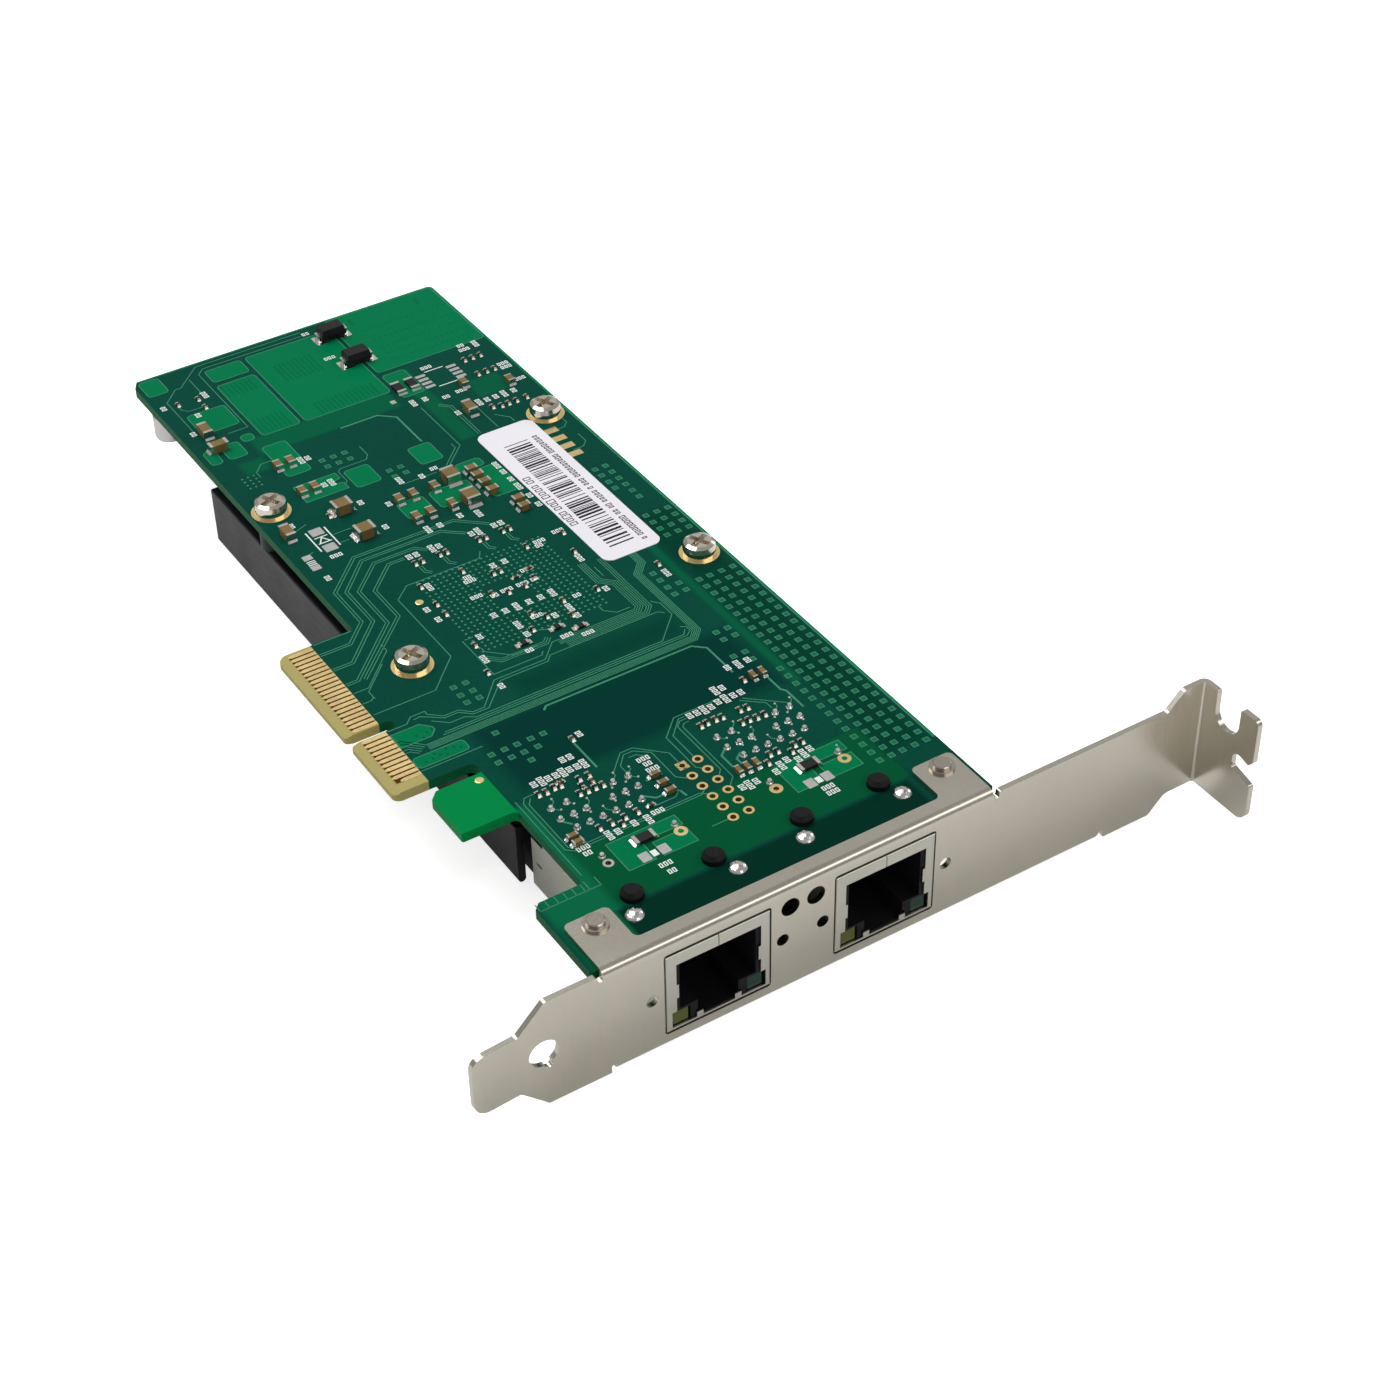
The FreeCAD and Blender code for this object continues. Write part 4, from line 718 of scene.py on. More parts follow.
# %% Single tracks and pairs
fine = 0.15
broad = 0.32
pair_gap = 0.46
single_tracks = [
    [(16.0, -24.0), (14.5, -24.0), (13.8, -25.0), (13.8, -36.0), (14.8, -36.9), (35.0, -36.8),
     (36.0, -36.0)],
    [(15.2, -24.5), (14.4, -25.5), (14.4, -35.8), (15.0, -36.4), (35.0, -36.4), (36.0, -37.4)],
    [(27.3, -26.3), (30.3, -23.2), (32.3, -23.2), (36.0, -27.0), (36.0, -29.5)],
    [(28.9, -27.0), (28.9, -25.6), (30.5, -23.8), (32.0, -23.8), (34.0, -25.5), (34.0, -31.7),
     (35.2, -32.8)],
    [(30.8, -24.7), (31.9, -24.7), (33.0, -25.7)],
    [(28.3, -35.2), (31.8, -35.2), (33.0, -34.2)],
    [(32.6, -42.95), (35.3, -42.95)],
    [(50.0, -20.9), (40.6, -20.9), (37.4, -24.0), (37.4, -31.5), (38.1, -32.3)],
    [(42.0, -21.5), (41.0, -21.5), (38.4, -24.2), (38.4, -29.4)],
    [(42.0, -22.0), (40.9, -22.0), (40.0, -22.9), (40.0, -33.8), (39.2, -34.7)],
    [(42.0, -22.7), (41.2, -22.7), (40.6, -23.3), (40.6, -36.0), (39.3, -37.3)],
    [(51.0, -22.6), (55.8, -27.0)],
    [(50.4, -22.8), (53.3, -25.4), (53.3, -26.8)],
    [(5.8, 3.2), (15.7, 3.2), (21.3, 8.8), (21.3, 25.0), (24.0, 27.4), (36.5, 27.4), (37.5, 28.9)],
    [(11.9, -2.5), (13.9, -4.3), (16.3, -4.3), (17.6, -5.25), (48.7, -5.25), (53.3, -0.6), (53.3, 2.6),
     (52.3, 3.8)],
    [(12.3, -5.7), (52.1, -5.7), (52.9, -4.7)],
    [(11.8, -6.13), (52.4, -6.13), (53.5, -5.3)],
    [(5.6, -1.2), (8.7, -1.2), (9.8, -0.1), (12.1, -0.1), (12.1, -0.9), (13.9, -2.5), (16.2, -2.5),
     (17.8, -4.0), (19.6, -4.0), (23.8, 0.55), (32.3, 0.55), (35.2, 3.5), (36.0, 3.5)],
    [(9.9, -0.9), (11.0, -0.75), (13.8, -2.95), (16.0, -2.95), (17.6, -4.45), (20.1, -4.45), (24.5, -0.05),
     (32.4, -0.05), (33.4, 1.05), (51.8, 1.05), (52.6, 0.3)],
    [(49.85, 13.1), (49.85, 15.8)],
    [(35.0, 7.1), (36.3, 6.4)],
    [(52.6, -3.8), (53.4, -4.3), (53.4, -5.2)],
    [(35.4, 64.5), (35.4, 61.7), (34.6, 60.6), (29.9, 60.6), (29.3, 60.0), (29.3, 57.0), (28.9, 56.5)],
    [(49.0, 69.0), (49.0, 55.8), (44.8, 51.7)],
    [(48.0, 57.0), (48.0, 55.6), (44.4, 52.0)],
    [(56.7, 64.0), (56.7, 57.0)],
    [(58.0, 60.5), (59.8, 58.3), (59.8, 57.0)],
    [(18.4, 65.5), (18.4, 67.0), (20.0, 68.8), (21.8, 68.8)],
    [(15.0, 83.0), (15.0, 93.5), (17.8, 96.4), (18.8, 96.4), (23.5, 101.0), (43.0, 101.0)],
    [(19.5, 79.7), (23.0, 79.7), (23.0, 98.5), (24.3, 99.8), (43.0, 99.8)],
    [(16.1, 91.0), (16.1, 90.2), (17.0, 89.2), (19.5, 89.2)],
    [(21.0, 98.0), (21.0, 93.6), (20.4, 92.8)],
    [(36.2, 51.2), (42.2, 51.2)],
    [(18.6, 50.0), (16.0, 49.0)],
    [(20.9, 45.3), (24.0, 45.3)],
    [(20.9, 42.8), (22.4, 42.8)],
    [(16.2, 42.9), (15.4, 42.5)],
    [(5.8, 22.2), (12.0, 22.2)],
    [(5.6, 9.0), (8.0, 9.0), (14.2, 15.2), (14.2, 17.0)],
    [(7.6, 6.3), (7.6, 8.2), (12.2, 12.8)],
    [(5.6, 6.2), (7.0, 6.2), (7.6, 6.8)],
    [(45.3, 7.2), (45.3, 5.8), (46.8, 4.3), (49.0, 4.3)],
    [(24.4, 11.0), (24.4, 1.7), (32.4, 1.7), (33.0, 2.4)],
    [(25.9, 8.0), (25.9, 7.0), (29.0, 4.0), (33.0, 4.0)],
    [(24.8, 11.0), (26.2, 11.0)],
    [(15.2, -11.3), (5.6, -11.3)],
    [(63.4, 44.5), (65.3, 44.5), (66.4, 45.6), (66.4, 48.0)],
    [(64.2, 51.0), (65.6, 51.0), (66.6, 52.0), (66.6, 53.5), (68.2, 55.0)],
    [(68.45, -44.5), (68.45, 60.0)],
    [(13.05, -24.0), (13.05, -41.5)],
]
paired_tracks = [
    [(5.6, 19.5), (10.5, 19.5), (14.3, 23.3), (14.3, 31.8), (20.7, 38.2), (38.0, 38.2), (42.2, 34.4)],
    [(5.6, 15.4), (8.8, 15.4), (15.8, 22.5), (15.8, 31.0), (21.3, 36.8), (35.0, 36.8), (38.0, 34.2)],
    [(5.6, 11.3), (7.5, 11.3), (17.4, 21.0), (17.4, 30.1), (22.6, 35.2), (29.5, 35.2), (31.0, 33.7)],
    [(8.5, 11.0), (19.5, 21.5), (19.5, 29.0), (24.3, 33.7), (27.0, 33.7)],
    [(51.8, 68.0), (53.3, 66.5), (53.3, 57.0)],
]
paired_tracks += [[(x, 30.6), (x, 29.0), (x + 0.8, 28.2)] for x in (28.1, 32.2, 39.1, 43.2)]
broad_tracks = [
    [(26.1, -16.5), (26.1, -24.0)],
    [(27.9, -32.3), (29.5, -33.9), (30.8, -33.9)],
    [(56.7, -20.5), (56.7, -24.0), (57.2, -24.7), (57.2, -29.0)],
    [(43.5, -30.0), (41.7, -31.5), (41.7, -34.4)],
    [(44.3, -32.3), (43.1, -33.2), (43.1, -34.5)],
    [(26.3, -9.3), (27.0, -8.6), (51.5, -8.6), (53.2, -10.2), (53.2, -17.0)],
    [(35.3, 70.9), (42.0, 70.9), (44.4, 68.7), (44.4, 60.2)],
    [(16.4, -31.0), (17.3, -32.2)],
    [(33.0, -34.4), (33.2, -35.8)],
    [(30.2, -30.2), (31.0, -30.0)],
]

# Crossing tracks end at different heights, so that no two tops lie in one plane.
height_levels = 6
track_mesh = bmesh.new()
lines = [(line, fine) for line in single_tracks]
for line in paired_tracks:
    lines.extend((beside(line, side * pair_gap), fine) for side in (-0.5, 0.5))
lines.extend((line, broad) for line in broad_tracks)
for i, (line, width) in enumerate(lines):
    add_track(track_mesh, line, width, copper_height + i % height_levels * height_step)

# %% Bundles
bundle_width = 0.13
bundles = [
    (5, 0.28, [(8.8, -6.67), (52.6, -6.67), (53.74, -5.5), (53.74, 10.8), (55.8, 13.0), (55.8, 15.5)]),
    (4, 0.36, [(36.0, 3.5), (49.3, 3.5), (49.8, 4.0), (49.8, 10.4), (48.0, 12.2), (48.0, 17.6)]),
    (3, 0.36, [(36.8, 2.1), (50.2, 2.1), (51.2, 3.1), (51.2, 17.2)]),
    (3, 0.4, [(25.5, 6.0), (27.2, 4.3), (34.2, 4.3), (35.0, 5.1)]),
]
for count, pitch, line in bundles:
    for i in range(count):
        add_track(track_mesh, beside(line, -i * pitch), bundle_width)
fan_count, fan_pitch, fan_line = bundles[0]
fan_end_x, fan_end_y = fan_line[0]
fan_start_x = 6.2
for i in range(fan_count):
    end_x = fan_end_x - i * 0.4
    end_y = fan_end_y - i * fan_pitch
    start_y = end_y + (end_x - fan_start_x)
    add_track(track_mesh, [(5.5, start_y), (fan_start_x, start_y), (end_x, end_y)], bundle_width)

# %% Frames on the board's ear
frame_stops = [5.1, 6.5, 7.9, 9.25, 10.6, 11.95, 12.6, 14.3]
frame_near_y = -44.4
frame_far_y = -42.95
frame_tail_x = 12.5
frame_tail_y = -42.6
add_track(track_mesh, [(frame_stops[0] - 0.1, frame_near_y), (frame_stops[-1] + 0.1, frame_near_y)], fine)
for x in frame_stops:
    far_y = frame_tail_y if x > frame_tail_x else frame_far_y
    add_track(track_mesh, [(x, frame_near_y), (x, far_y)], fine)
add_piece("tracks", track_mesh, "trace_lacquer")

# %% [markdown]
# ## Squares and vias
#
# Plain copper squares even out the plating on the empty parts of a board, and under the controller each
# ball has a small plated hole beside it. Both repeat in straight rows, so loops place them, and each has
# only a few faces.

# %% Squares
square_side = 0.96
square_pitch = 2.03
square_rim = 0.13


def row(first, step, count):
    return [first + step * i for i in range(count)]


square_groups = [
    ((61.3, 63.2, 65.3, 67.3), row(4.3, -square_pitch, 25)),
    ((59.3,), row(-20.06, -square_pitch, 13)),
    ((56.3,), (9.4, 7.4)),
    ((56.3, 58.3), (5.3, 3.3)),
    ((56.3, 58.3), (-7.9, -9.9)),
    ((55.3, 57.3), (-14.0,)),
    ((57.3,), (-16.0,)),
    ((18.1, 20.1), (2.3, 0.2, -1.7)),
    ((18.1,), (-9.8,)),
    ((15.3, 17.4, 19.4, 21.6, 23.6), (-13.6,)),
    ((15.3, 17.4, 19.4, 21.6), (-15.6,)),
    ((19.4,), (-17.6,)),
    ((63.4, 65.3), (37.8, 35.8, 33.7, 31.7)),
    ((65.3,), (29.7, 27.7)),
    ((63.4, 65.4, 67.4), (22.7, 20.6, 18.6, 16.6)),
    ((28.6, 30.6, 32.6), (64.3, 62.3)),
    ((36.2, 38.2), (55.8, 53.9)),
]
square_inside = square_side - 2 * square_rim
# Each square sits inside a rim in the track lacquer: a painted highlight along its edge.
square_mesh = bmesh.new()
square_rim_highlight_mesh = bmesh.new()
for xs, ys in square_groups:
    for x in xs:
        for y in ys:
            add_pad(square_rim_highlight_mesh, x, y, square_side, square_side, rim_height)
            add_pad(square_mesh, x, y, square_inside, square_inside, square_height)
add_piece("copper_squares", square_mesh, "square_lacquer")
add_piece("square_rims", square_rim_highlight_mesh, "trace_lacquer")

# %% Vias
via_pitch = 1.0
via_radius = 0.2
via_first_x = 25.7
via_first_y = 7.2
via_columns = 22
via_lines = 21
empty_columns = range(8, 14)
empty_lines = range(7, 14)
via_mesh = bmesh.new()
for column in range(via_columns):
    for line in range(via_lines):
        x = via_first_x + column * via_pitch
        y = via_first_y + line * via_pitch
        if column not in empty_columns or line not in empty_lines:
            add_disc(via_mesh, x, y, via_radius, via_height)
for x in row(15.7, 1.0, 3):
    for y in row(63.6, 1.0, 4):
        add_disc(via_mesh, x, y, via_radius, via_height)
add_piece("vias", via_mesh, "trace_lacquer")

# %% [markdown]
# ## Copper on the component side
#
# The photograph doesn't show this face, and the heat sink covers most of it. What stays in view gets what
# such a board needs there: two supply fields beside the coil, rows of squares, and the tracks that leave
# the connector's fingers.

# %% Component side
under_fields = [(19.0, 34.5, 79.0, 100.5), (49.5, 67.0, 79.0, 100.5)]
under_squares = [(x, -26.0, 7) for x in (61.3, 63.3, 65.3)] + [(x, -30.0, 5) for x in (34.4, 36.4, 38.4)]
under_pairs = 9
under_bright = bmesh.new()
under_lines = bmesh.new()
# The fields' rims in the track lacquer are painted highlights along their edges.
for x0, x1, y0, y1 in under_fields:
    add_block(under_lines, x0, x1, y0, y1, rim_height, field_corner, board_bottom - rim_height)
    add_block(under_bright, x0 + rim_width, x1 - rim_width, y0 + rim_width, y1 - rim_width, copper_height,
              field_corner - rim_width, board_bottom - copper_height)
for x, first_y, count in under_squares:
    for y in row(first_y, -square_pitch, count):
        add_pad(under_lines, x, y, square_side, square_side, square_height, low=board_bottom - square_height)
for i in range(under_pairs):
    y = 2.5 + 2 * i
    for shift in (-pair_gap / 2, pair_gap / 2):
        line = [(5.6, y + shift), (8.5, y + shift), (10.5, y + 2 + shift), (20.0, y + 2 + shift)]
        add_track(under_lines, line, fine, copper_height, board_bottom - copper_height)
for y in (77.2, 77.8, 78.4):
    add_track(under_lines, [(16.0, y), (66.0, y)], fine, copper_height, board_bottom - copper_height)
add_piece("component_side_fields", under_bright, "lacquer_bright")
add_piece("component_side_tracks", under_lines, "trace_lacquer")

# %% [markdown]
# ## Pads and plated holes
#
# Where a part is soldered or a screw makes contact, the lacquer is open and the metal shows. Empty places
# are gold, and used ones are covered with bright solder. A plated hole is a barrel with a flange on each
# face, which is one small profile spun round the hole's axis.

# %% Turned shapes
def add_turned(bm, x, y, profile, steps, closed=False):
    spots = [bm.verts.new((x + radius, y, z)) for radius, z in profile]
    edges = [bm.edges.new(pair) for pair in zip(spots, spots[1:])]
    if closed:
        edges.append(bm.edges.new((spots[-1], spots[0])))
    bmesh.ops.spin(bm, geom=spots + edges, cent=(x, y, 0), axis=(0, 0, 1), angle=2 * math.pi, steps=steps,
                   use_merge=True)


barrel_wall = 0.06


def add_barrel(bm, x, y, hole, flange):
    high = board_top + pad_height
    low = board_bottom - pad_height
    bore = hole / 2 - barrel_wall
    profile = [
        (bore, low),
        (flange / 2, low),
        (flange / 2, board_bottom),
        (hole / 2, board_bottom),
        (hole / 2, board_top),
        (flange / 2, board_top),
        (flange / 2, high),
        (bore, high),
    ]
    add_turned(bm, x, y, profile, 20, closed=True)


# %% Empty holes
header_pitch = 2.54
header_first = (36.03, -42.95)
header_columns = 2
header_lines = 6
header_hole = 1.0
header_flange = 1.6
spare_holes = [(17.25, -41.4, False), (28.65, -41.4, True), (44.1, -41.4, True), (55.5, -41.4, True)]
spare_hole = 0.95
spare_flange = 1.95
tin_flange = 1.6
gold_mesh = bmesh.new()
tin_mesh = bmesh.new()
for column in range(header_columns):
    for line in range(header_lines):
        x = header_first[0] + column * header_pitch
        y = header_first[1] + line * header_pitch
        add_barrel(gold_mesh, x, y, header_hole, header_flange)
corner_x = header_first[0]
corner_y = header_first[1] + (header_lines - 1) * header_pitch
frame_wide = 0.27
frame_half = header_flange / 2
for side in (-1, 1):
    middle_of_strip = side * (frame_half - frame_wide / 2)
    add_pad(gold_mesh, corner_x + middle_of_strip, corner_y, frame_wide, header_flange)
    add_pad(gold_mesh, corner_x, corner_y + middle_of_strip, header_flange - 2 * frame_wide, frame_wide)
for x, y, gilt in spare_holes:
    if gilt:
        add_barrel(gold_mesh, x, y, spare_hole, spare_flange)
    else:
        add_barrel(tin_mesh, x, y, spare_hole, tin_flange)


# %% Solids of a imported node
def boxes_of(name):
    bm = bmesh.new()
    bm.from_mesh(nodes[name].data)
    bmesh.ops.remove_doubles(bm, verts=bm.verts, dist=0.001 * mm)
    seen = set()
    boxes = []
    for first in bm.verts:
        if first in seen:
            continue
        seen.add(first)
        found = [first]
        for vertex in found:
            for edge in vertex.link_edges:
                other = edge.other_vert(vertex)
                if other not in seen:
                    seen.add(other)
                    found.append(other)
        low = Vector([min(vertex.co[axis] for vertex in found) for axis in range(3)]) / mm
        high = Vector([max(vertex.co[axis] for vertex in found) for axis in range(3)]) / mm
        boxes.append((low, high))
    bm.free()
    return boxes


screw_pad_radius = 3.15
screw_hole_radius = 1.7
for low, high in boxes_of("heat_sink_screws"):
    x = (low.x + high.x) / 2
    y = (low.y + high.y) / 2
    ring = [(screw_hole_radius, board_top), (screw_pad_radius, board_top),
            (screw_pad_radius, board_top + pad_height), (screw_hole_radius, board_top + pad_height)]
    add_turned(gold_mesh, x, y, ring, 40, closed=True)

# %% Open pads
gold_dots = [(23.7, 22.8), (11.3, -17.3)]
gold_dot_radius = 0.65
for x, y in gold_dots:
    add_disc(gold_mesh, x, y, gold_dot_radius, sides=24)
for y in (51.2, 48.6, 46.1, 43.5):
    add_pad(gold_mesh, 63.1, y, 2.6, 1.4)
silver_pads = [
    (21.9, -43.1, 1.5, 1.8), (24.9, -43.1, 1.5, 1.8), (48.6, -43.1, 1.5, 1.8), (51.4, -43.1, 1.5, 1.8),
    (19.0, 47.3, 2.1, 1.9), (19.0, 42.6, 2.1, 1.9), (14.8, 42.0, 1.5, 1.3), (14.8, 39.1, 1.5, 1.3),
    (44.8, 87.5, 2.3, 2.8), (49.2, 87.5, 1.9, 2.8), (44.8, 96.8, 2.3, 2.8), (49.2, 96.8, 1.9, 2.8),
    (46.0, 72.9, 0.9, 1.0),
]
for x, y, wide, long in silver_pads:
    add_pad(tin_mesh, x, y, wide, long, corner=0.12)
for x in (53.4, 59.2):
    for y in row(77.3, -1.2, 4):
        add_pad(tin_mesh, x, y, 1.8, 0.7, corner=0.1)
add_piece("gold_pads", gold_mesh, "gold")

# %% [markdown]
# ## Solder
#
# Wave solder climbs each pin in a hollow cone, and sits in a low dome round the jacks' broad shield legs.
# Under the chip parts it is a flat pad with a slope against each metal end. Pins, chips and legs are found
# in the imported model, so the solder is always where they are.

# %% Solder round pins and legs
cone_profile = [(0, 0), (0.58, 0), (0.54, 0.08), (0.43, 0.22), (0.36, 0.42), (0.27, 0.55), (0, 0.58)]
dome_profile = [(0, 0), (1.36, 0), (1.3, 0.16), (1.08, 0.42), (0.72, 0.62), (0.3, 0.74), (0, 0.78)]
leg_from_front = 7.6
half_shield_sheet = 0.125


def on_board(profile):
    return [(radius, board_top + height) for radius, height in profile]


solder_mesh = bmesh.new()
pin_spots = []
for side in ("left", "right"):
    for low, high in boxes_of("jack_pins_" + side):
        spot = (low + high) / 2
        pin_spots.append(spot)
        add_turned(solder_mesh, spot.x, spot.y, on_board(cone_profile), 12)
    shield_low, shield_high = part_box("jack_shield_" + side)
    leg_y = shield_low.y / mm + leg_from_front
    for x in (shield_low.x / mm + half_shield_sheet, shield_high.x / mm - half_shield_sheet):
        add_turned(solder_mesh, x, leg_y, on_board(dome_profile), 20)
add_piece("pin_solder", solder_mesh, "solder")


# %% Solder of the chip parts
end_search = 2.2
end_slack = 0.05
slope_foot = 0.2
slope_share = 0.4
slope_limit = 0.35


def add_slope(bm, low, high, axis, side, reach, rise):
    start = high[axis] if side > 0 else low[axis] - reach
    spans = [(low.x, high.x), (low.y, high.y)]
    spans[axis] = (start, start + reach)
    verts = add_block(bm, *spans[0], *spans[1], rise)
    far = start + reach if side > 0 else start
    for vertex in verts:
        if abs(vertex.co[axis] - far) < 0.01 and vertex.co.z > board_top + rise / 2:
            vertex.co.z = board_top + rise * slope_foot


def solder_chips(kind, reach):
    ends = boxes_of(kind + "_ends")
    for low, high in boxes_of(kind + "_bodies"):
        middle_of_chip = (low + high) / 2
        size = high - low
        near = [end for end in ends if ((end[0] + end[1]) / 2 - middle_of_chip).length < end_search]
        for end_low, end_high in near:
            offset = (end_low + end_high) / 2 - middle_of_chip
            axis = 0 if abs(offset.x) > abs(offset.y) else 1
            if abs(offset[1 - axis]) > end_slack:
                continue
            side = 1 if offset[axis] > 0 else -1
            add_slope(tin_mesh, end_low, end_high, axis, side, reach, min(size.z * slope_share, slope_limit))


solder_chips("large_capacitor", 0.55)
solder_chips("small_capacitor", 0.34)
solder_chips("resistor", 0.34)
add_piece("pads_and_chip_solder", tin_mesh, "solder")

# %% [markdown]
# ## The smallest chip parts
#
# Dozens of parts are only a millimetre long. Each is a dark or brown block between two tinned ends on two
# pads.

# %% Smallest parts
tiny_length = 1.0
tiny_width = 0.5
tiny_height = 0.38
tiny_end = 0.22
tiny_pad = 0.32
tiny_pad_rise = 0.1
tiny_pad_place = 0.62
tiny_inset = 0.02
tiny_lift = 0.03
resistor_scale = 1.7


def in_row(y, *xs):
    return [(x, y) for x in xs]


tiny_up = [
    (16.4, -24.5), (17.6, -24.6), (18.9, -24.4), (19.9, -24.5), (22.7, -24.8), (24.2, -24.8), (22.3, -26.2),
    (23.9, -26.2), (21.2, -27.4), (22.4, -27.5), (23.6, -27.5), (24.8, -27.6),
    *in_row(-34.9, 19.8, 21.7, 23.8, 25.8), (22.8, -35.9), (42.7, -24.6), (43.8, -24.5), (45.2, -24.5),
    (46.3, -24.6), (49.2, -24.7), (50.4, -24.8), (47.9, -27.2), (49.1, -27.2), (50.3, -27.4), (51.6, -27.4),
    (47.3, -35.0), (48.6, -35.0), (51.3, -35.2), (52.6, -35.2), (46.1, -36.4), (50.2, -36.2), (53.4, -19.4),
    *in_row(31.5, 27.7, 28.9, 31.9, 33.1, 38.7, 39.9, 42.9, 44.1), (25.6, 25.9), (32.7, 25.9), (43.9, 26.0),
    (50.4, 26.0), (25.5, 20.8), (25.5, 18.0), (49.3, 20.8), (33.7, 18.5), (35.9, 17.5), (38.8, 17.5),
    (40.9, 18.5), (26.3, -17.0), (23.8, 2.5), (25.4, 9.0), (36.0, 11.0), (41.6, 11.2), (34.3, 7.6),
    (41.0, 7.4), (37.6, 9.2), (58.2, 11.0), (47.3, 10.8), (58.8, 62.5),
    *in_row(62.0, 60.2, 61.5, 63.0, 64.9),
    *in_row(77.5, 61.9, 63.4, 64.9), *in_row(72.5, 61.7, 63.3, 64.8), (19.7, 91.6), (19.7, 88.8),
    (16.2, 91.8), (22.6, 49.9), (36.3, 22.8), (37.5, 22.8),
]
tiny_across = [(28.0, -34.9), (20.2, -24.0), (41.4, 20.9), (38.6, 20.0)]
chip_resistors = [(31.5, 5.4), (37.5, 6.0), (40.5, 4.3)]


def turned_block(bm, x, y, along, across, height, upwards, low=board_top):
    wide, long = (across, along) if upwards else (along, across)
    return add_pad(bm, x, y, wide, long, height, low=low)


def add_tiny(bodies, ends, x, y, upwards, scale):
    length = tiny_length * scale
    width = tiny_width * scale
    end = tiny_end * scale
    turned_block(bodies, x, y, length - 2 * end, width - tiny_inset, tiny_height - tiny_inset, upwards,
                 board_top + tiny_lift)
    for side in (-1, 1):
        shift = side * (length - end) / 2
        pad_shift = side * length * tiny_pad_place
        end_x, end_y = (x, y + shift) if upwards else (x + shift, y)
        pad_x, pad_y = (x, y + pad_shift) if upwards else (x + pad_shift, y)
        turned_block(ends, end_x, end_y, end, width, tiny_height + tiny_lift, upwards)
        turned_block(ends, pad_x, pad_y, tiny_pad * scale, width + 0.1, tiny_pad_rise, upwards)


tiny_bodies = bmesh.new()
tiny_dark_bodies = bmesh.new()
tiny_ends = bmesh.new()
for i, (x, y) in enumerate(tiny_up):
    add_tiny(tiny_bodies if i % 2 else tiny_dark_bodies, tiny_ends, x, y, True, 1.0)
for x, y in tiny_across:
    add_tiny(tiny_bodies, tiny_ends, x, y, False, 1.0)
for x, y in chip_resistors:
    add_tiny(tiny_dark_bodies, tiny_ends, x, y, False, resistor_scale)
add_piece("smallest_capacitors", tiny_bodies, "ceramic_dark")
add_piece("smallest_resistors", tiny_dark_bodies, "chip")
add_piece("smallest_ends", tiny_ends, "tin")

# %% Solder dots
dot_radius = 0.2
dots = [
    (17.5, -26.2), (17.5, -28.8), (18.5, -31.3), (20.6, -31.4), *in_row(-31.3, 22.6, 24.6, 26.7),
    (19.6, -28.7), (27.8, -28.8), (29.8, -28.8), (29.8, -26.3), (27.3, -26.2), (20.0, -30.6), (25.6, -28.8),
    (21.6, -28.7),
    (47.1, -26.2), (44.4, -28.7), (46.4, -28.7), (48.5, -28.6), (52.5, -28.7), (54.6, -28.8), (45.4, -31.2),
    (47.5, -31.2), *in_row(-31.3, 49.5, 51.5, 53.6, 55.6), (54.2, -26.2), (56.7, -26.2), (56.2, -38.5),
]
dot_mesh = bmesh.new()
for x, y in dots:
    add_disc(dot_mesh, x, y, dot_radius, 0.06)
add_piece("solder_dots", dot_mesh, "solder")


# %% Short tracks from the dots to the pins
least_bend = 0.1


def bent_line(x, y, spot):
    across = spot.x - x
    along = spot.y - y
    slant = min(abs(across), abs(along))
    corner_x = spot.x - math.copysign(slant, across)
    corner_y = spot.y - math.copysign(slant, along)
    if math.dist((x, y), (corner_x, corner_y)) < least_bend or slant < least_bend:
        return [(x, y), (spot.x, spot.y)]
    return [(x, y), (corner_x, corner_y), (spot.x, spot.y)]


short_mesh = bmesh.new()
for x, y in dots:
    nearest = min(pin_spots, key=lambda spot: math.dist((x, y), (spot.x, spot.y)))
    add_track(short_mesh, bent_line(x, y, nearest), fine, copper_height + height_levels * height_step)
add_piece("short_tracks", short_mesh, "trace_lacquer")

# %% [markdown]
# ## White print
#
# A board carries white print beside its parts. Here each mark is a short row of plain open boxes, which
# says nothing. A box is four thin strips.

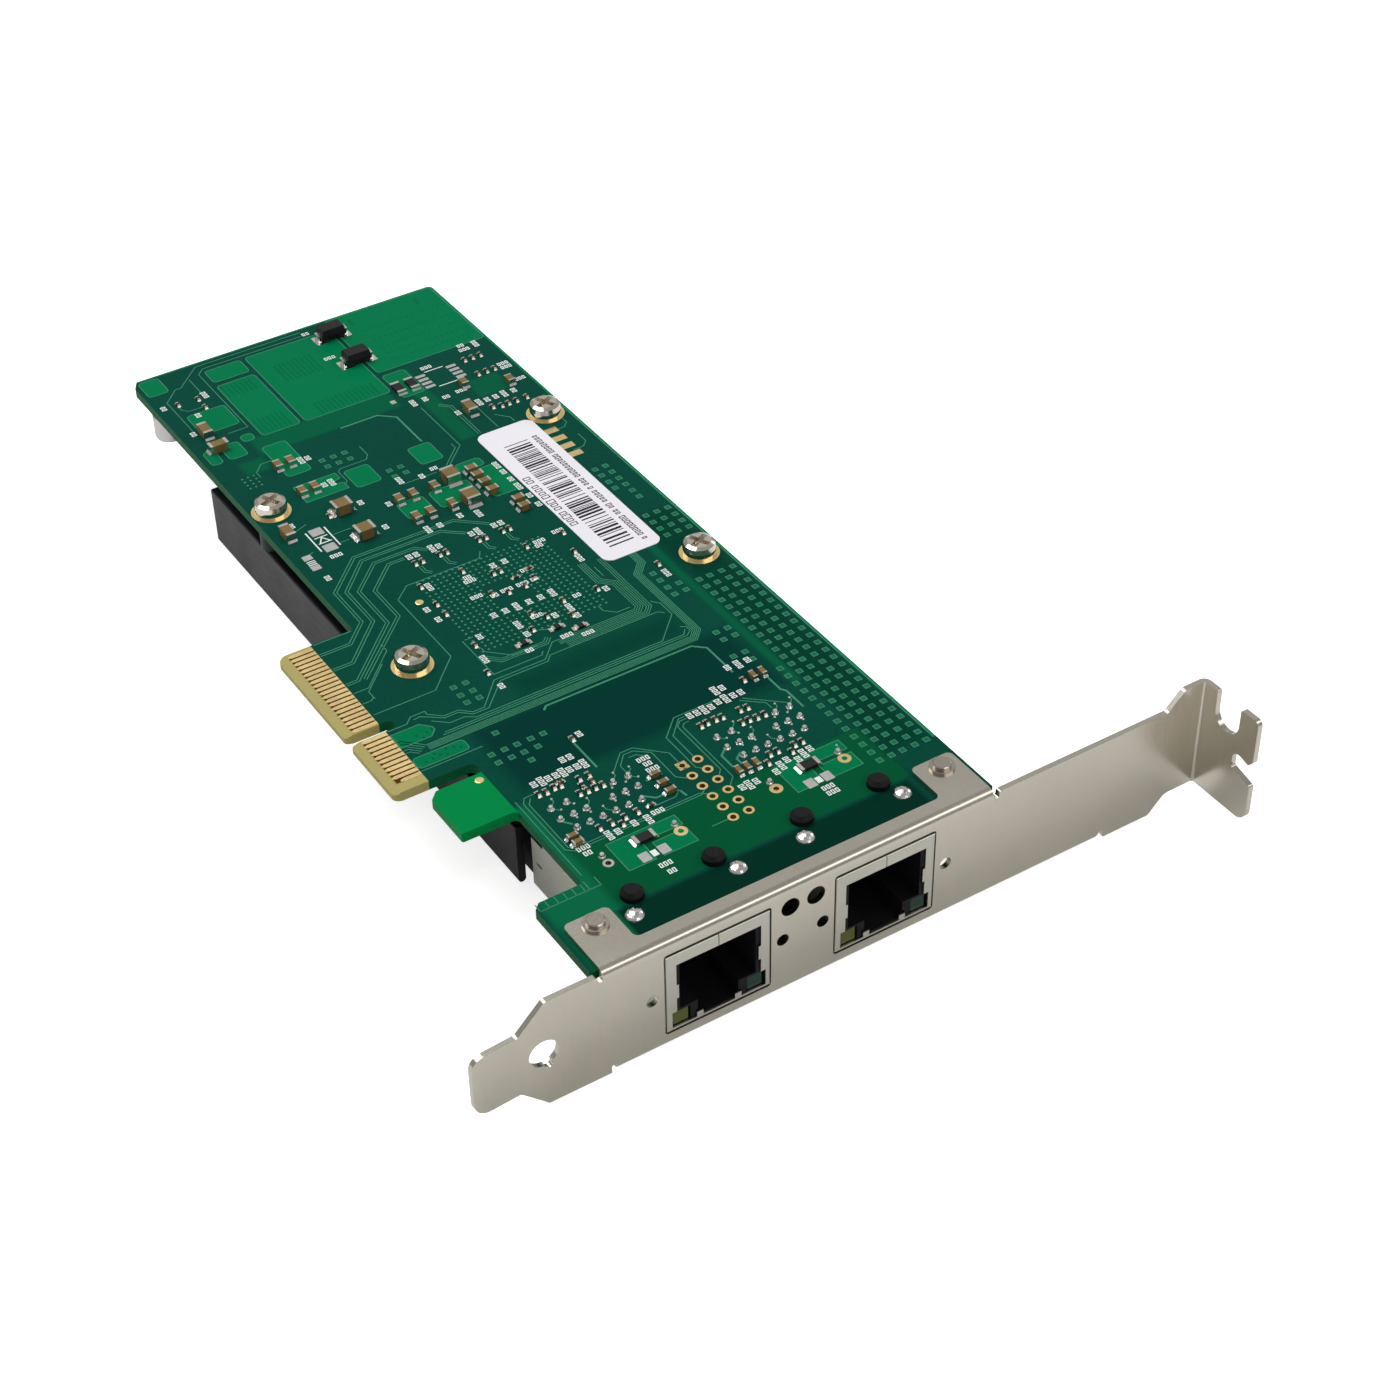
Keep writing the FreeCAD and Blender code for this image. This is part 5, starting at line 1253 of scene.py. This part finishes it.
# %% Marks
cell_wide = 0.52
cell_tall = 0.88
cell_pitch = 0.7
stroke = 0.16
marks_up = [
    *in_row(-22.3, 17.0, 18.2, 19.3, 20.5, 21.6, 22.7, 23.9, 25.0), (22.9, -20.0), (24.1, -20.0),
    (20.2, -36.8), (21.6, -36.8), (24.3, -36.6), (26.3, -37.0), *in_row(-21.8, 42.7, 43.9, 45.1, 46.3),
    *in_row(-21.4, 47.7, 49.0, 50.3, 51.6), (48.7, -19.1), (49.9, -19.1), (40.4, -38.6), (41.5, -38.7),
    (42.7, -38.6), (46.1, -38.5), (47.4, -37.8), (48.7, -37.2), (50.1, -38.0), (51.4, -37.4), (52.7, -37.0),
    (53.1, -15.7), (54.8, -15.9), (56.5, -15.8), (27.7, -16.5), (25.0, 5.5), (24.0, -1.2), (27.0, 10.5),
    (33.1, 9.8), (33.1, 7.2), (38.8, 8.8), (41.6, 9.2), (41.6, 7.0), (48.5, 10.2), (58.1, 8.5), (28.5, 42.6),
    (15.1, 35.7), (33.6, 38.3), (35.7, 38.3), (39.5, 38.8), (42.2, 37.7),
    *in_row(33.6, 27.8, 29.0, 31.7, 32.9, 38.6, 39.8, 42.6, 43.8), (26.7, 25.3), (23.7, 20.5), (24.0, 17.5),
    (49.2, 19.0), *in_row(13.8, 31.3, 33.3, 35.2, 37.3, 39.3, 41.3), (37.3, 24.6), (39.3, 24.6),
    (25.8, 66.2), (27.0, 66.2), (25.8, 58.0), (27.1, 58.0), (16.5, 50.8), (28.3, 50.5), (36.2, 52.4),
    (39.7, 51.5), (31.8, 47.7), (48.6, 70.8), (50.8, 70.8), (53.3, 64.2),
    *in_row(65.0, 57.7, 59.2, 60.8, 62.4, 64.2),
    (13.8, 92.2), (21.2, 92.3), (14.7, 82.6), (17.7, 87.3), (51.0, 47.6), (51.0, 45.4), (51.0, 43.0),
    (51.0, 40.6), (51.2, 37.5), (51.2, 34.7), (66.0, 81.2),
]
marks_across = [
    (32.3, -26.0), (32.3, -27.2), (32.3, -28.5), (16.0, -37.0), (16.0, -38.2), (28.2, -36.3), (23.5, -45.7),
    (23.5, -47.3), (50.2, -45.0), (50.2, -46.2), (31.5, 3.7), (37.8, 3.7), (40.7, 2.5), (44.0, 11.2),
    (36.5, 10.2), (18.8, 40.2), (32.6, 24.2), (32.5, 23.2), (46.3, 26.2), (45.7, 25.2), (50.0, 26.9),
    (31.4, 19.2), (33.8, 18.0), *in_row(18.2, 36.0, 38.7, 40.8), (41.0, 21.0), (55.5, 79.2), (54.0, 69.5),
    (57.0, 69.8), (66.9, 67.6), (43.5, 100.0), (43.5, 90.9), (63.6, 80.6), (63.6, 82.0), (66.8, 72.0),
    (66.8, 73.2), (42.3, 52.4),
]


def add_cell(bm, x, y, wide, tall, height=ink_height, low=board_top):
    for side in (-1, 1):
        add_pad(bm, x + side * (wide - stroke) / 2, y, stroke, tall, height, low=low)
        add_pad(bm, x, y + side * (tall - stroke) / 2, wide - 2 * stroke, stroke, height, low=low)


def add_mark(bm, x, y, upwards, cells):
    for i in range(cells):
        shift = (i - (cells - 1) / 2) * cell_pitch
        if upwards:
            add_cell(bm, x, y + shift, cell_tall, cell_wide)
        else:
            add_cell(bm, x + shift, y, cell_wide, cell_tall)


symbol_line = 0.2
ink_mesh = bmesh.new()
for i, (x, y) in enumerate(marks_up):
    add_mark(ink_mesh, x, y, True, 2 + i % 3 % 2)
for i, (x, y) in enumerate(marks_across):
    add_mark(ink_mesh, x, y, False, 3 - i % 3 % 2)
for x in (17.4, 20.6):
    add_track(ink_mesh, [(x, 42.3), (x, 47.9)], 0.22, ink_height)
for y in (44.2, 45.8):
    add_track(ink_mesh, [(17.9, y), (20.1, y)], symbol_line, ink_height)
add_track(ink_mesh, [(18.2, 44.3), (19.0, 45.6), (19.8, 44.3)], symbol_line, ink_height)
for y in row(40.0, 0.45, 3):
    add_track(ink_mesh, [(14.1, y), (15.5, y)], symbol_line, ink_height)
for x in (23.4, 50.0):
    add_pad(ink_mesh, x, -43.1, 0.9, 1.2, ink_height)
for y in (78.0, 72.9):
    add_track(ink_mesh, [(54.6, y), (58.0, y)], 0.18, ink_height)
add_piece("white_print", ink_mesh, "ink")

# %% [markdown]
# ## Print on the label
#
# The sticker keeps only what any such sticker has: bars of uneven width and rows of open boxes. Both come
# from a seeded random row, so they carry no code and no words.

# %% Label print
random.seed(11)
label_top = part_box("label")[1].z / mm
print_height = 0.008
bar_low_x = 54.4
bar_high_x = 58.7
bar_start_y = 18.6
bar_end_y = 51.0
bar_widths = (0.18, 0.18, 0.32, 0.32, 0.5)
bar_gaps = (0.18, 0.3, 0.3, 0.45, 0.7)
box_gaps = (0.14, 0.14, 0.14, 0.14, 0.6)
print_mesh = bmesh.new()
y = bar_start_y
while y < bar_end_y:
    wide = random.choice(bar_widths)
    add_block(print_mesh, bar_low_x, bar_high_x, y, y + wide, print_height, low=label_top)
    y += wide + random.choice(bar_gaps)


def add_boxes(bm, x, start, stop, tall, long):
    y = start
    while y < stop:
        share = random.uniform(0.75, 1.0)
        add_cell(bm, x, y + long / 2, tall * share, long * share, print_height, label_top)
        y += long + random.choice(box_gaps)


add_boxes(print_mesh, 53.0, 26.5, 41.0, 1.5, 0.95)
add_boxes(print_mesh, 60.1, 17.5, 51.0, 1.1, 0.62)
add_piece("label_print", print_mesh, "print_black")

# %% Sizes and finish
low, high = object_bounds()
